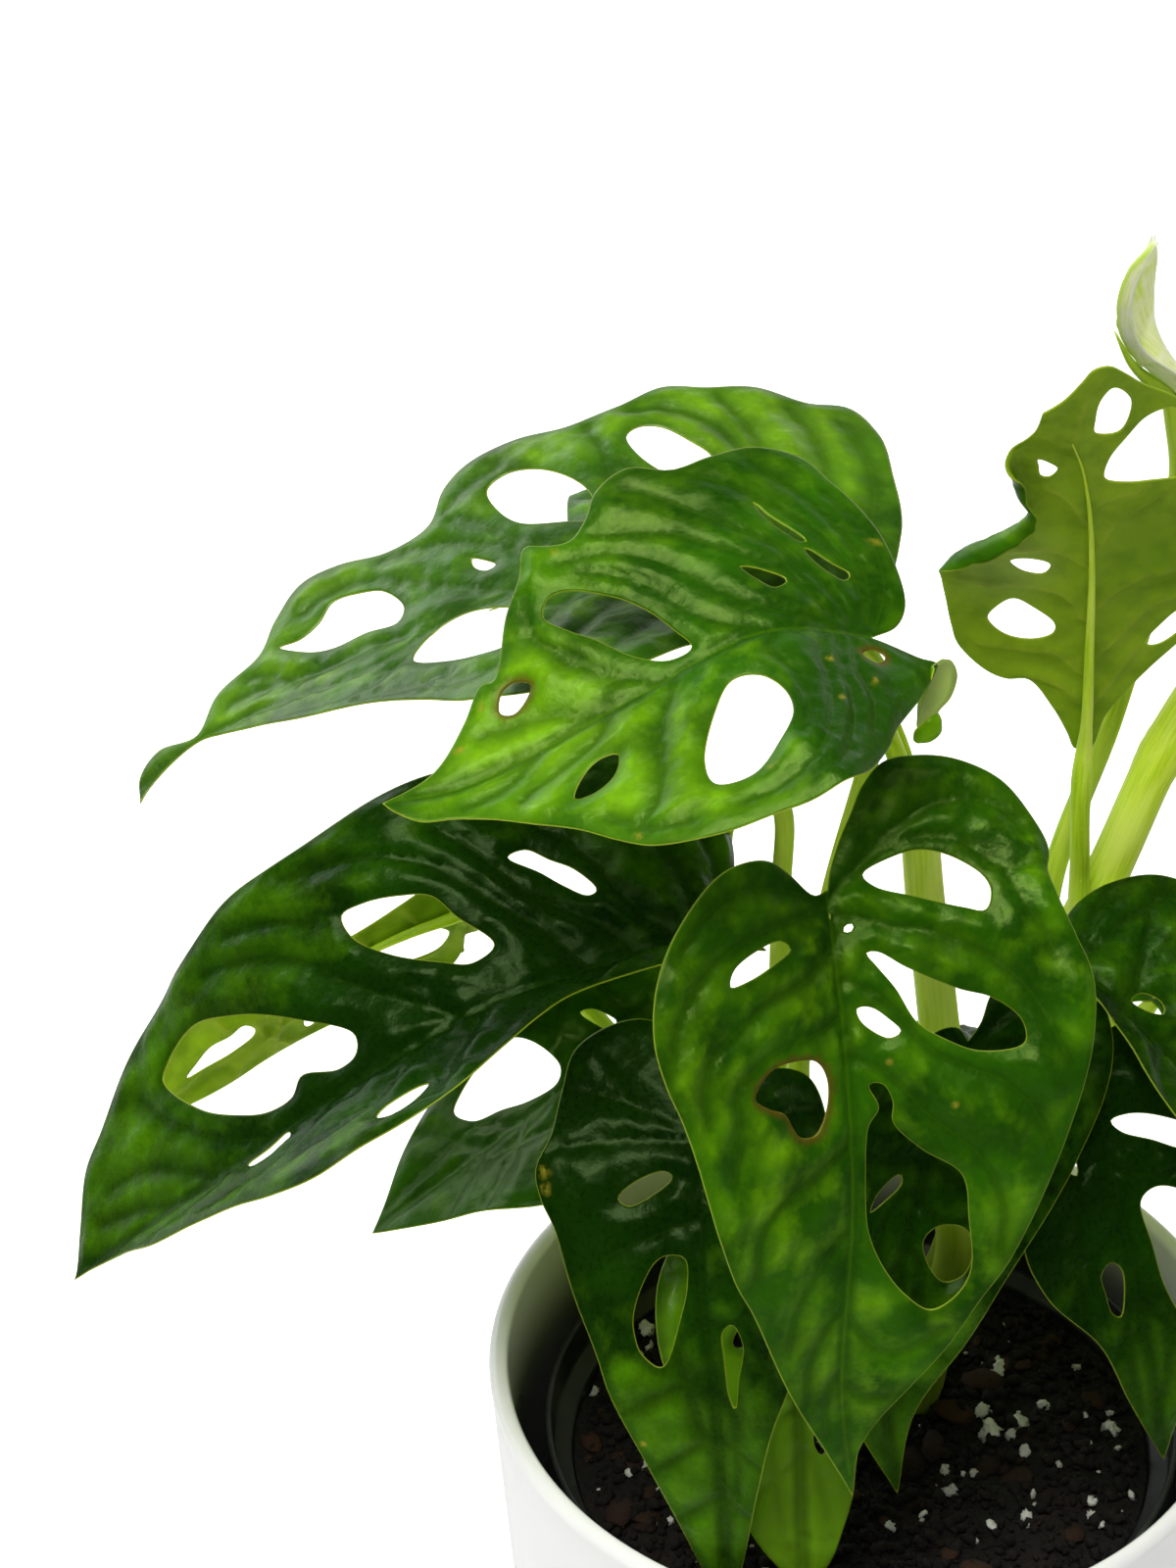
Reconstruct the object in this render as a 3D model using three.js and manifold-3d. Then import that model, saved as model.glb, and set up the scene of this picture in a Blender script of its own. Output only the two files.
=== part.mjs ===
// Monstera adansonii in a nursery pot inside a white glazed planter.
// Millimetres, +Z up. The origin is the middle of the planter's foot, where the object stands.
import * as THREE from 'three';
import { mergeVertices } from 'three/addons/utils/BufferGeometryUtils.js';
import Module from 'manifold-3d';

const wasm = await Module();
wasm.setup();

// ---- Driving dimensions ----
const GAP = 0.3; // air kept between solids that touch
const PLANTER = { height: 135, lipRadius: 78, wall: 4, floor: 6, taper: 0.08, foot: 4, lip: 1.5, sides: 40 };
const POT = { rim: 118, rimRadius: 66.4, band: 10, wall: 1.6, baseRadius: 50, step: 2.9, foot: 3, sides: 32 };
const DRAIN = { count: 4, radius: 4, ring: 30, cut: 6, sides: 8 };
const SOIL = { level: 110, mound: 1.5, rough: 1.2, edgeDrop: 3, rings: 5, seed: 7 };
const BLADE = { half: 0.4, edgeStep: 8, holeStep: 5.5, gridStep: 15, firstRow: 10.5,
  ribStep: 11, lobe: 40, clear: 4, valley: 2 };
const CURL_REACH = 45; // a leaf's curl is the bend over this distance out from the midrib
const PETIOLE = { base: 2.5, top: 1.8, sides: 6, step: 16, past: 0.12 };
const STEM_SIDES = 8;
const NOTCH = 2; // how far the blade reaches behind the junction, on its midrib
const MERGE = 1e-4; // points closer than this are one point

const COLOURS = {
  glaze: { color: 0xf2f1ee, roughness: 0.18 },
  potPlastic: { color: 0x1b1c1d, roughness: 0.5 },
  soil: { color: 0x1a120d, roughness: 0.95 },
  stem: { color: 0x9db843, roughness: 0.45 },
  leaf: { color: 0x2f6a1c, roughness: 0.35 },
  darkLeaf: { color: 0x1b4415, roughness: 0.3 },
  youngLeaf: { color: 0xb9cf86, roughness: 0.4 },
};

// ---- Stems: [x, y, z] along the middle from the root end up, and the radius at both ends ----
const STEMS = {
  stem_main: {
    path: [[11, 12, 66], [12, 11, 112], [19, 10, 151], [15, 9, 190], [13, 8, 212], [8, 6, 252]],
    radius: [5.2, 3.7],
  },
  stem_left: { path: [[-5, 8, 66], [-6, 7, 112], [-9, 4, 145], [-12, 3, 176]], radius: [4.8, 4] },
  stem_right: {
    path: [[15, 38, 66], [19, 45, 108], [26, 38, 150], [35, 27, 208], [46, 26, 240], [58, 34, 269],
      [72, 38, 294]],
    radius: [5.2, 4.2],
  },
};

// ---- Leaves ----
// rib: [x, y, z] along the midrib: a point behind the junction, the junction, and so on to the tip.
// face: where the upper side looks. fold: degrees that each half rises beside the midrib.
// curl: degrees that each half bends by, 45 mm out. right, left: the margin as [along, out] from the junction.
// holes: [along, out, length, width, turn], or a ring of [along, out] where the hole is no plain oval.
// petiole: from its stem up to just short of the junction.
const HIGH_LEFT = {
  rib: [[-1, 6, 311], [-13, 10, 316], [-56, 14, 319], [-92, 17, 303], [-120, 18, 287], [-144, 10, 269]],
  face: [-0.2, -0.05, 1],
  fold: 14,
  curl: -12,
  right: [[-8, 8], [-6, 24], [2, 49], [14, 55], [26, 53], [41, 47], [55, 43], [66, 42], [77, 27], [91, 27],
    [104, 26], [117, 10], [132, 4]],
  left: [[-9, 8], [-6, 17], [6, 21], [17, 22], [25, 27], [36, 38], [50, 43], [61, 39], [72, 32], [92, 23],
    [107, 16], [124, 4], [135, 1]],
  holes: [[54, 23, 24, 14, 51], [33, 33, 16, 11, 43], [66, 11, 6, 2, 44], [96, 10, 28, 12, 10],
    [68, -11, 26, 15, -22]],
  petiole: [[9, 6, 248], [3, 6, 279], [-7, 8, 303]],
  stem: 'stem_main',
};
const LIGHT_FRONT = {
  rib: [[4, -20, 324], [-8, -22, 330], [-26, -28, 335], [-50, -38, 327], [-79, -46, 314], [-94, -50, 313]],
  face: [-0.05, -0.3, 0.95],
  fold: 10,
  curl: -9,
  right: [[-7, 5], [-7, 16], [0, 34], [6, 41], [17, 40], [26, 42], [36, 36], [43, 34], [51, 37], [58, 28],
    [66, 19], [74, 14], [86, 3]],
  left: [[-9, 2], [-14, 8], [-9, 18], [5, 31], [19, 40], [32, 41], [46, 37], [58, 29], [71, 17], [80, 9],
    [90, 5]],
  holes: [[42, 14, 30, 11, 50], [33, -20, 24, 15, -51], [58, -13, 11, 5, -22], [66, 12, 7, 6, -20],
    [16, 11, 8, 3, 39], [5, 14, 8, 4, 47]],
  petiole: [[-11, 3, 168], [-13, -2, 193], [-16, -6, 216], [-11, -10, 262], [-5, -10, 293], [-3, -16, 314]],
  stem: 'stem_left',
};
const HANGING_FRONT = {
  rib: [[-14, -24, 287], [-13, -34, 279], [-10, -49, 258], [-8, -60, 229], [-9, -66, 185], [-6, -65, 157]],
  face: [0.3, -0.9, 0.25],
  fold: 18,
  curl: -14,
  right: [[-1, 3], [-5, 12], [-5, 21], [2, 33], [12, 39], [25, 40], [33, 36], [50, 31], [69, 25], [88, 16],
    [107, 7], [121, 2]],
  left: [[-6, 1], [-16, 5], [-25, 12], [-27, 19], [-23, 34], [-11, 42], [0, 42], [15, 46], [27, 48], [44, 44],
    [61, 36], [76, 28], [92, 20], [109, 8], [119, 2]],
  holes: [[-2, -19, 25, 10, -72], [[11, -6], [15, -14], [19, -25], [23, -33], [30, -34], [31, -27], [26, -17],
    [17, -10]], [23, -6, 9, 5, -60], [10, 17, 15, 5, 68],
    [[32, 21], [28, 14], [30, 6], [37, 5], [43, 9], [37, 14]],
    [[34, -5], [39, -7], [46, -12], [53, -20], [66, -22], [79, -18], [78, -12], [68, -5], [54, -2], [43, -3]]],
  petiole: [[-9, 5, 168], [-4, 3, 190], [-5, -1, 212], [-9, -12, 245], [-12, -25, 270]],
  stem: 'stem_left',
};
const DARK_LEFT = {
  rib: [[-27, -3, 247], [-36, -8, 251], [-74, -20, 249], [-104, -26, 233], [-127, -26, 209], [-160, -20, 173]],
  face: [-0.1, -0.19, 0.98],
  fold: 27,
  curl: -9,
  right: [[-8, 5], [-13, 14], [-15, 26], [-9, 35], [10, 40], [32, 44], [56, 45], [80, 44], [105, 39],
    [124, 35], [138, 26], [149, 14]],
  left: [[-8, 6], [-9, 13], [4, 17], [20, 16], [33, 19], [47, 30], [60, 36], [76, 37], [96, 29], [114, 22],
    [136, 11]],
  holes: [[24, 18, 19, 5, 44], [51, 17, 29, 12, 41], [91, -14, 12, 5, 8], [62, -30, 11, 4, -4],
    [[118, 23], [106, 29], [91, 24], [79, 13], [71, 4], [75, 1], [84, 3], [92, 2], [103, 8]]],
  petiole: [[-12, 5, 162], [-19, 6, 190], [-19, 4, 222], [-21, 1, 262], [-26, -1, 280], [-32, -5, 270]],
  stem: 'stem_left',
};
const LOW_LEFT = {
  rib: [[-24, 20, 217], [-34, 17, 216], [-50, 8, 211], [-69, 0, 199], [-101, -6, 173]],
  face: [0, 0, 1],
  fold: 8,
  curl: -8,
  right: [[-6, 6], [-4, 16], [11, 20], [24, 24], [38, 27], [52, 28], [64, 23], [72, 15], [80, 5]],
  left: [[-6, 6], [0, 17], [18, 23], [30, 27], [46, 26], [60, 17], [75, 7]],
  holes: [[45, 12, 27, 13, 18], [20, 8, 7, 4, 60], [18, -13, 12, 5, -40]],
  petiole: [[-8, 6, 134], [-18, 13, 168], [-27, 16, 200], [-32, 17, 212]],
  stem: 'stem_left',
};
const RIM_LEFT = {
  rib: [[-32, -20, 228], [-34, -32, 219], [-36, -48, 200], [-33, -58, 179], [-29, -61, 120]],
  face: [-0.3, -0.9, 0.2],
  fold: 10,
  curl: -10,
  right: [[-6, 5], [-18, 8], [-23, 14], [-21, 23], [-13, 31], [2, 31], [14, 32], [22, 27], [34, 24], [52, 20],
    [70, 14], [89, 7]],
  left: [[-6, 4], [-14, 8], [-14, 18], [-4, 24], [8, 26], [24, 25], [39, 20], [55, 12], [70, 8], [90, 4]],
  holes: [[10, 12, 12, 4, 53], [32, 8, 22, 8, 19], [44, -5, 16, 4, 7], [14, -13, 15, 6, -50]],
  petiole: [[-10, 4, 148], [-19, -5, 180], [-27, -18, 209], [-32, -27, 217]],
  stem: 'stem_left',
};
const RIM_FRONT = {
  rib: [[-20, -16, 196], [-19, -22, 187], [-16, -42, 161], [-15, -53, 136], [-14, -56, 122]],
  face: [0.1, -0.9, 0.3],
  fold: 8,
  curl: -10,
  right: [[-4, 3], [1, 10], [14, 16], [29, 18], [44, 16], [60, 10], [68, 5]],
  left: [[-4, 4], [3, 10], [17, 15], [32, 16], [46, 13], [57, 10], [66, 6]],
  holes: [[37, 6, 4, 2, 16], [42, -4, 5, 2, -12], [18, 8, 10, 4, 50], [20, -8, 10, 4, -50]],
  petiole: [[-7, 5, 132], [-11, -8, 158], [-17, -17, 180]],
  stem: 'stem_left',
};
const BEHIND_FRONT = {
  rib: [[18, -5, 235], [16, -14, 227], [9, -27, 213], [3, -40, 192], [1, -48, 165], [4, -50, 143]],
  face: [0.2, -0.9, 0.3],
  fold: 10,
  curl: -10,
  right: [[-5, 3], [-9, 12], [-4, 20], [11, 23], [30, 21], [46, 16], [61, 12], [78, 6]],
  left: [[-6, 2], [-13, 4], [-18, 12], [-16, 24], [-6, 29], [12, 29], [27, 26], [44, 21], [60, 15], [76, 6]],
  holes: [[39, -9, 12, 10, -46], [31, 7, 11, 3, 35], [8, -14, 16, 5, -55]],
  petiole: [[17, 9, 172], [18, 3, 200], [17, -8, 221]],
  stem: 'stem_main',
};
const DARK_RIGHT = {
  rib: [[30, 7, 238], [38, 0, 237], [57, -12, 223], [78, -20, 200], [102, -25, 163]],
  face: [0.1, -0.1, 1],
  fold: 18,
  curl: -8,
  right: [[-3, 4], [3, 7], [13, 8], [22, 13], [34, 18], [52, 20], [70, 15], [88, 5]],
  left: [[-5, 3], [-9, 9], [-8, 19], [0, 28], [11, 32], [29, 32], [48, 29], [68, 20], [88, 7]],
  holes: [[15, -5, 7, 4, -32], [36, -14, 20, 8, -45], [58, -11, 16, 6, -38], [44, 8, 13, 5, 40]],
  petiole: [[33, 28, 188], [34, 13, 214], [37, 5, 231]],
  stem: 'stem_right',
};
const RIM_RIGHT = {
  rib: [[39, 1, 225], [41, -5, 217], [47, -19, 195], [54, -31, 164], [59, -33, 136]],
  face: [0.3, -0.9, 0.25],
  fold: 10,
  curl: -10,
  right: [[-5, 4], [-3, 9], [6, 12], [18, 17], [31, 22], [43, 19], [56, 10], [70, 6], [80, 3]],
  left: [[-5, 4], [-6, 13], [0, 21], [13, 26], [29, 25], [47, 20], [65, 13], [78, 5]],
  holes: [[15, -9, 18, 5, -62], [41, -10, 26, 12, -5], [45, 7, 12, 4, 3], [14, 11, 12, 4, 55]],
  petiole: [[30, 33, 170], [36, 14, 198], [41, 0, 214]],
  stem: 'stem_right',
};
const RAISED = {
  rib: [[38, 26, 263], [39, 22, 275], [39, 14, 303], [36, 4, 332], [30, -8, 362], [26, -19, 378],
    [27, -27, 375]],
  face: [0, 0.95, 0.3],
  fold: 8,
  curl: -10,
  right: [[-2, 2], [6, 5], [13, 10], [20, 18], [29, 26], [44, 29], [58, 25], [68, 16], [83, 11], [96, 8],
    [108, 5]],
  left: [[-2, 2], [8, 5], [20, 12], [32, 23], [48, 28], [68, 28], [88, 25], [103, 19], [112, 11]],
  holes: [[54, 12, 8, 4, 85], [36, 14, 14, 10, 41], [32, -15, 13, 6, -24], [101, -9, 14, 5, -15],
    [85, -14, 18, 12, -35], [87, 7, 7, 3, 20]],
  petiole: [[36, 27, 200], [40, 22, 223], [40, 21, 242], [39, 20, 262]],
  stem: 'stem_right',
};
const YOUNG = {
  rib: [[58, 27, 347], [52, 25, 353], [46, 23, 359], [41, 21, 365], [39, 19, 373], [40, 17, 383],
    [44, 14, 391]],
  face: [0.9, -0.1, 0.5],
  fold: 68,
  curl: 10,
  right: [[-6, 5], [0, 7], [10, 8], [22, 8], [34, 7], [41, 4]],
  left: [[-6, 5], [0, 7], [10, 8], [22, 8], [34, 7], [41, 4]],
  holes: [],
  petiole: [[34, 29, 200], [36, 31, 236], [46, 31, 277], [54, 28, 332]],
  stem: 'stem_right',
};

// A leaf of the usual outline: heart-shaped base, widest a quarter of the way along, long tip.
function usualLeaf(length, halfWidth) {
  const margin = [[-0.04, 0.1], [-0.1, 0.36], [-0.07, 0.68], [0.06, 0.93], [0.25, 1], [0.45, 0.9],
    [0.62, 0.66], [0.78, 0.36], [0.9, 0.13]].map(([along, out]) => [along * length, out * halfWidth]);
  const oval = (along, out, long, wide, turn) => [along * length, out * halfWidth, long * halfWidth,
    wide * halfWidth, turn];
  const holes = [[0.14, 0.48, 0.5, 0.18, 58], [0.33, 0.5, 0.62, 0.24, 50], [0.52, 0.42, 0.5, 0.2, 42]]
    .flatMap(([along, out, long, wide, turn]) => [oval(along, out, long, wide, turn),
      oval(along + 0.03, -out, 0.9 * long, wide, -turn)]);
  return { right: margin, left: margin, holes, fold: 12, curl: -14 };
}
const FAR_LEFT = {
  ...usualLeaf(76, 25),
  rib: [[-74, 52, 209], [-82, 50, 210], [-106, 43, 203], [-131, 34, 190], [-146, 28, 178]],
  face: [0.1, 1, 0.35],
  petiole: [[-7, 6, 118], [-20, 19, 146], [-48, 38, 182], [-74, 49, 204]],
  stem: 'stem_left',
};
const RIGHT_HIGH = {
  ...usualLeaf(104, 37),
  rib: [[80, 38, 297], [88, 36, 300], [118, 28, 306], [148, 16, 292], [172, 4, 262]],
  face: [0.2, -0.2, 1],
  petiole: [[70, 37, 289], [79, 39, 297]],
  stem: 'stem_right',
};
const RIGHT_LOW = {
  ...usualLeaf(96, 31),
  rib: [[91, 20, 180], [99, 16, 180], [124, 12, 168], [148, 6, 140], [162, 0, 112]],
  face: [0.3, -0.2, 1],
  petiole: [[34, 30, 184], [54, 32, 190], [90, 20, 182]],
  stem: 'stem_right',
};
const RIGHT_BACK = {
  ...usualLeaf(92, 31),
  rib: [[90, 58, 268], [95, 66, 270], [106, 92, 262], [118, 118, 240], [124, 134, 214]],
  face: [0.2, 0.2, 1],
  petiole: [[62, 36, 275], [80, 48, 278], [91, 60, 270]],
  stem: 'stem_right',
};
const BACK_LOW = {
  ...usualLeaf(78, 27),
  rib: [[16, 54, 158], [18, 62, 160], [24, 84, 152], [31, 104, 124], [35, 114, 96]],
  face: [0.1, 0.6, 1],
  petiole: [[24, 41, 138], [20, 50, 150]],
  stem: 'stem_right',
};
const BACK_HIGH = {
  ...usualLeaf(108, 30),
  rib: [[-28, 52, 290], [-30, 60, 291], [-32, 90, 286], [-33, 120, 264], [-34, 145, 232]],
  face: [-0.1, 0.2, 1],
  petiole: [[16, 9, 178], [14, 16, 205], [9, 21, 244], [3, 31, 270], [-12, 47, 288]],
  stem: 'stem_main',
};
const BACK_RIGHT = {
  ...usualLeaf(84, 24),
  rib: [[58, 48, 184], [62, 55, 186], [72, 80, 182], [86, 108, 162], [95, 125, 136]],
  face: [0.2, 0.2, 1],
  petiole: [[30, 33, 180], [44, 42, 186], [58, 50, 184]],
  stem: 'stem_right',
};
const LEAVES = {
  high_left: HIGH_LEFT, light_front: LIGHT_FRONT, hanging_front: HANGING_FRONT, dark_left: DARK_LEFT,
  low_left: LOW_LEFT, rim_left: RIM_LEFT, rim_front: RIM_FRONT, behind_front: BEHIND_FRONT,
  dark_right: DARK_RIGHT, rim_right: RIM_RIGHT, raised: RAISED, young: YOUNG, far_left: FAR_LEFT,
  right_high: RIGHT_HIGH, right_low: RIGHT_LOW, right_back: RIGHT_BACK, back_low: BACK_LOW,
  back_high: BACK_HIGH, back_right: BACK_RIGHT,
};
const DARK = ['dark_left', 'low_left', 'rim_left', 'rim_front', 'behind_front', 'dark_right', 'rim_right',
  'back_low'];

// ---- Small helpers ----
const toVector = ([x, y, z = 0]) => new THREE.Vector3(x, y, z);
const smoothCurve = (points, closed = false) => (
  new THREE.CatmullRomCurve3(points.map(toVector), closed, 'centripetal'));
const radians = THREE.MathUtils.degToRad;

// Numbers from 0 to 1 that are the same on every run.
function seededRandom(seed) {
  let state = seed;
  return () => {
    state = (state * 16807) % 2147483647;
    return state / 2147483647;
  };
}

function meshFrom(name, geometry, colour) {
  const plain = geometry.index ? geometry : mergeVertices(geometry);
  plain.computeVertexNormals();
  const mesh = new THREE.Mesh(plain, new THREE.MeshStandardMaterial({ metalness: 0, ...colour }));
  mesh.name = name;
  return mesh;
}

function toSolid(geometry) {
  const bare = geometry.clone();
  bare.deleteAttribute('normal');
  bare.deleteAttribute('uv');
  const merged = mergeVertices(bare, MERGE);
  return new wasm.Manifold(new wasm.Mesh({
    numProp: 3,
    vertProperties: new Float32Array(merged.attributes.position.array),
    triVerts: new Uint32Array(merged.index.array),
  }));
}

// The largest body of a solid: cutting can leave crumbs.
function toGeometry(solid) {
  const largest = solid.decompose().reduce((best, body) => (body.volume() > best.volume() ? body : best));
  const mesh = largest.getMesh();
  const geometry = new THREE.BufferGeometry();
  geometry.setAttribute('position', new THREE.BufferAttribute(mesh.vertProperties, 3));
  geometry.setIndex(new THREE.BufferAttribute(mesh.triVerts, 1));
  return geometry;
}

function indexedGeometry(points, triangles) {
  const geometry = new THREE.BufferGeometry();
  const numbers = points.flatMap((point) => point.toArray());
  geometry.setAttribute('position', new THREE.Float32BufferAttribute(numbers, 3));
  geometry.setIndex(triangles.flat());
  return geometry;
}

// A closed round tube along a path, with a radius that changes evenly from one end to the other.
function taperedTube(path, radius, sides, step, grow = 0) {
  const curve = smoothCurve(path);
  const count = Math.max(3, Math.round(curve.getLength() / step));
  const frames = curve.computeFrenetFrames(count, false);
  const points = [];
  for (let i = 0; i <= count; i += 1) {
    const middle = curve.getPointAt(i / count);
    const reach = grow * ((i === count ? 1 : 0) - (i === 0 ? 1 : 0));
    middle.addScaledVector(frames.tangents[i], reach);
    const r = THREE.MathUtils.lerp(radius[0], radius[1], i / count) + grow;
    for (let j = 0; j < sides; j += 1) {
      const turn = (2 * Math.PI * j) / sides;
      points.push(middle.clone().addScaledVector(frames.normals[i], r * Math.cos(turn))
        .addScaledVector(frames.binormals[i], r * Math.sin(turn)));
    }
  }
  const triangles = [];
  for (let i = 0; i < count; i += 1) {
    for (let j = 0; j < sides; j += 1) {
      const next = (j + 1) % sides;
      const [a, b, c, d] = [i * sides + j, i * sides + next, (i + 1) * sides + next, (i + 1) * sides + j];
      triangles.push([a, b, c], [a, c, d]);
    }
  }
  for (let j = 1; j < sides - 1; j += 1) {
    triangles.push([0, j + 1, j]);
    triangles.push([count * sides, count * sides + j, count * sides + j + 1]);
  }
  return indexedGeometry(points, triangles);
}

// ---- The blade's surface: a place (along, out) on the leaf, in millimetres, to a place in space ----
function leafSurface({ rib, face, fold, curl }) {
  const PER_SPAN = 40;
  const points = smoothCurve(rib).getPoints(PER_SPAN * (rib.length - 1));
  const places = [0];
  for (let i = 1; i < points.length; i += 1) places.push(places[i - 1] + points[i].distanceTo(points[i - 1]));
  const start = places[PER_SPAN];
  const from = -start;
  const length = places[places.length - 1] - start;
  const upper = toVector(face).normalize();

  const ribAt = (along) => {
    const wanted = THREE.MathUtils.clamp(along, from, length) + start;
    let i = 1;
    while (i < places.length - 1 && places[i] < wanted) i += 1;
    const part = (wanted - places[i - 1]) / (places[i] - places[i - 1]);
    return points[i - 1].clone().lerp(points[i], part);
  };
  const SPAN = 3;
  const tangentAt = (along) => {
    const middle = THREE.MathUtils.clamp(along, from + SPAN, length - SPAN);
    return ribAt(middle + SPAN).sub(ribAt(middle - SPAN)).normalize();
  };
  const rise = radians(fold);
  const bend = radians(curl) / CURL_REACH;
  const at = (along, out) => {
    const tangent = tangentAt(along);
    const normal = upper.clone().addScaledVector(tangent, -upper.dot(tangent)).normalize();
    const across = tangent.clone().cross(normal);
    const beyond = along - THREE.MathUtils.clamp(along, from, length);
    const far = Math.abs(out);
    const soft = Math.hypot(far, BLADE.valley) - BLADE.valley;
    const sideways = (Math.sin(rise + bend * far) - Math.sin(rise)) / bend;
    const height = (Math.cos(rise) - Math.cos(rise + bend * soft)) / bend;
    return ribAt(along).addScaledVector(tangent, beyond)
      .addScaledVector(across, Math.sign(out) * sideways)
      .addScaledVector(normal, height);
  };
  const STEP = 0.5;
  const normalAt = (along, out) => {
    const lengthwise = at(along + STEP, out).sub(at(along - STEP, out));
    const sidewise = at(along, out + STEP).sub(at(along, out - STEP));
    return sidewise.cross(lengthwise).normalize();
  };
  return { length, at, normalAt };
}

// ---- A flat outline with holes, cut into even triangles ----
const flat = (point) => new THREE.Vector2(point.x, point.y);

function marginRing({ right, left }, length) {
  const side = (margin, sign) => {
    const turned = margin.map(([along, out]) => [along, sign * out]);
    const curve = smoothCurve([[-NOTCH, 0], ...turned, [length, 0]]);
    return curve.getSpacedPoints(Math.round(curve.getLength() / BLADE.edgeStep)).map(flat);
  };
  const onRight = side(right, 1);
  const onLeft = side(left, -1);
  return [...onRight, ...onLeft.reverse().slice(1, -1)];
}

function holeRing(hole) {
  if (Array.isArray(hole[0])) {
    const curve = smoothCurve(hole, true);
    return curve.getSpacedPoints(Math.round(curve.getLength() / BLADE.holeStep)).slice(0, -1).map(flat);
  }
  const [along, out, long, wide, turn] = hole;
  const around = 2.4 * (long + wide / 2);
  const count = Math.max(6, 2 * Math.round(around / (2 * BLADE.holeStep)));
  const ring = [];
  for (let i = 0; i < count; i += 1) {
    const angle = (2 * Math.PI * i) / count;
    const point = new THREE.Vector2((long / 2) * Math.cos(angle), (wide / 2) * Math.sin(angle));
    ring.push(point.rotateAround(new THREE.Vector2(), radians(turn)).add(new THREE.Vector2(along, out)));
  }
  return ring;
}

const doubleArea = (a, b, c) => (b.x - a.x) * (c.y - a.y) - (b.y - a.y) * (c.x - a.x);

function inRing(point, ring) {
  let inside = false;
  ring.forEach((a, i) => {
    const b = ring[(i + 1) % ring.length];
    if ((a.y > point.y) !== (b.y > point.y)
      && point.x < ((b.x - a.x) * (point.y - a.y)) / (b.y - a.y) + a.x) inside = !inside;
  });
  return inside;
}

function distanceToRing(point, ring) {
  return Math.min(...ring.map((a, i) => {
    const b = ring[(i + 1) % ring.length];
    const edge = b.clone().sub(a);
    const part = THREE.MathUtils.clamp(point.clone().sub(a).dot(edge) / edge.lengthSq(), 0, 1);
    return point.distanceTo(a.clone().addScaledVector(edge, part));
  }));
}

function innerPoints(rings, length, halfWidth) {
  const points = [];
  const keep = (x, y) => {
    const point = new THREE.Vector2(x, y);
    const free = inRing(point, rings[0]) && rings.slice(1).every((ring) => !inRing(point, ring));
    if (free && rings.every((ring) => distanceToRing(point, ring) > BLADE.clear)) points.push(point);
  };
  for (let x = BLADE.ribStep / 2; x < length; x += BLADE.ribStep) keep(x, 0);
  const rows = Math.ceil(halfWidth / BLADE.gridStep);
  for (let row = 1; row <= rows; row += 1) {
    const shift = row % 2 ? 0 : BLADE.gridStep / 2;
    for (let x = shift - BLADE.lobe; x < length; x += BLADE.gridStep) {
      const out = (row - 1) * BLADE.gridStep + BLADE.firstRow;
      keep(x, out);
      keep(x, -out);
    }
  }
  return points;
}

const edgeKey = (a, b) => `${a} ${b}`;

// Turns long thin triangles into even ones by flipping the edge between two neighbours.
function flipToEven(points, triangles, fixed) {
  const inCircle = (a, b, c, d) => {
    const rows = [a, b, c].map((p) => [p.x - d.x, p.y - d.y, (p.x - d.x) ** 2 + (p.y - d.y) ** 2]);
    return new THREE.Matrix3().set(...rows.flat()).determinant() > 1e-7;
  };
  for (let pass = 0; pass < 60; pass += 1) {
    const owner = new Map();
    triangles.forEach(([a, b, c], i) => {
      owner.set(edgeKey(a, b), i);
      owner.set(edgeKey(b, c), i);
      owner.set(edgeKey(c, a), i);
    });
    const touched = new Set();
    let flips = 0;
    triangles.forEach((triangle, i) => {
      for (let k = 0; k < 3 && !touched.has(i); k += 1) {
        const [a, b, c] = [triangle[k], triangle[(k + 1) % 3], triangle[(k + 2) % 3]];
        const other = owner.get(edgeKey(b, a));
        const free = other !== undefined && !touched.has(other) && !fixed.has(edgeKey(a, b));
        const d = free ? triangles[other].find((v) => v !== a && v !== b) : undefined;
        const convex = free && doubleArea(points[c], points[a], points[d]) > 1e-6
          && doubleArea(points[d], points[b], points[c]) > 1e-6;
        if (convex && inCircle(points[a], points[b], points[c], points[d])) {
          triangles[i] = [c, a, d];
          triangles[other] = [d, b, c];
          touched.add(i).add(other);
          flips += 1;
        }
      }
    });
    if (flips === 0) return;
  }
}

function evenTriangles(rings, extra) {
  const points = rings.flat();
  const triangles = THREE.ShapeUtils.triangulateShape(rings[0], rings.slice(1))
    .map(([a, b, c]) => (doubleArea(points[a], points[b], points[c]) > 0 ? [a, b, c] : [a, c, b]));
  const fixed = new Set();
  let first = 0;
  rings.forEach((ring) => {
    ring.forEach((_, i) => {
      const [a, b] = [first + i, first + ((i + 1) % ring.length)];
      fixed.add(edgeKey(a, b)).add(edgeKey(b, a));
    });
    first += ring.length;
  });
  flipToEven(points, triangles, fixed);
  extra.forEach((point) => {
    const holder = triangles.findIndex(([a, b, c]) => doubleArea(points[a], points[b], point) > 1e-3
      && doubleArea(points[b], points[c], point) > 1e-3 && doubleArea(points[c], points[a], point) > 1e-3);
    if (holder < 0) return;
    const [a, b, c] = triangles[holder];
    const added = points.push(point) - 1;
    triangles.splice(holder, 1, [a, b, added], [b, c, added], [c, a, added]);
    flipToEven(points, triangles, fixed);
  });
  return { points, triangles };
}

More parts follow.
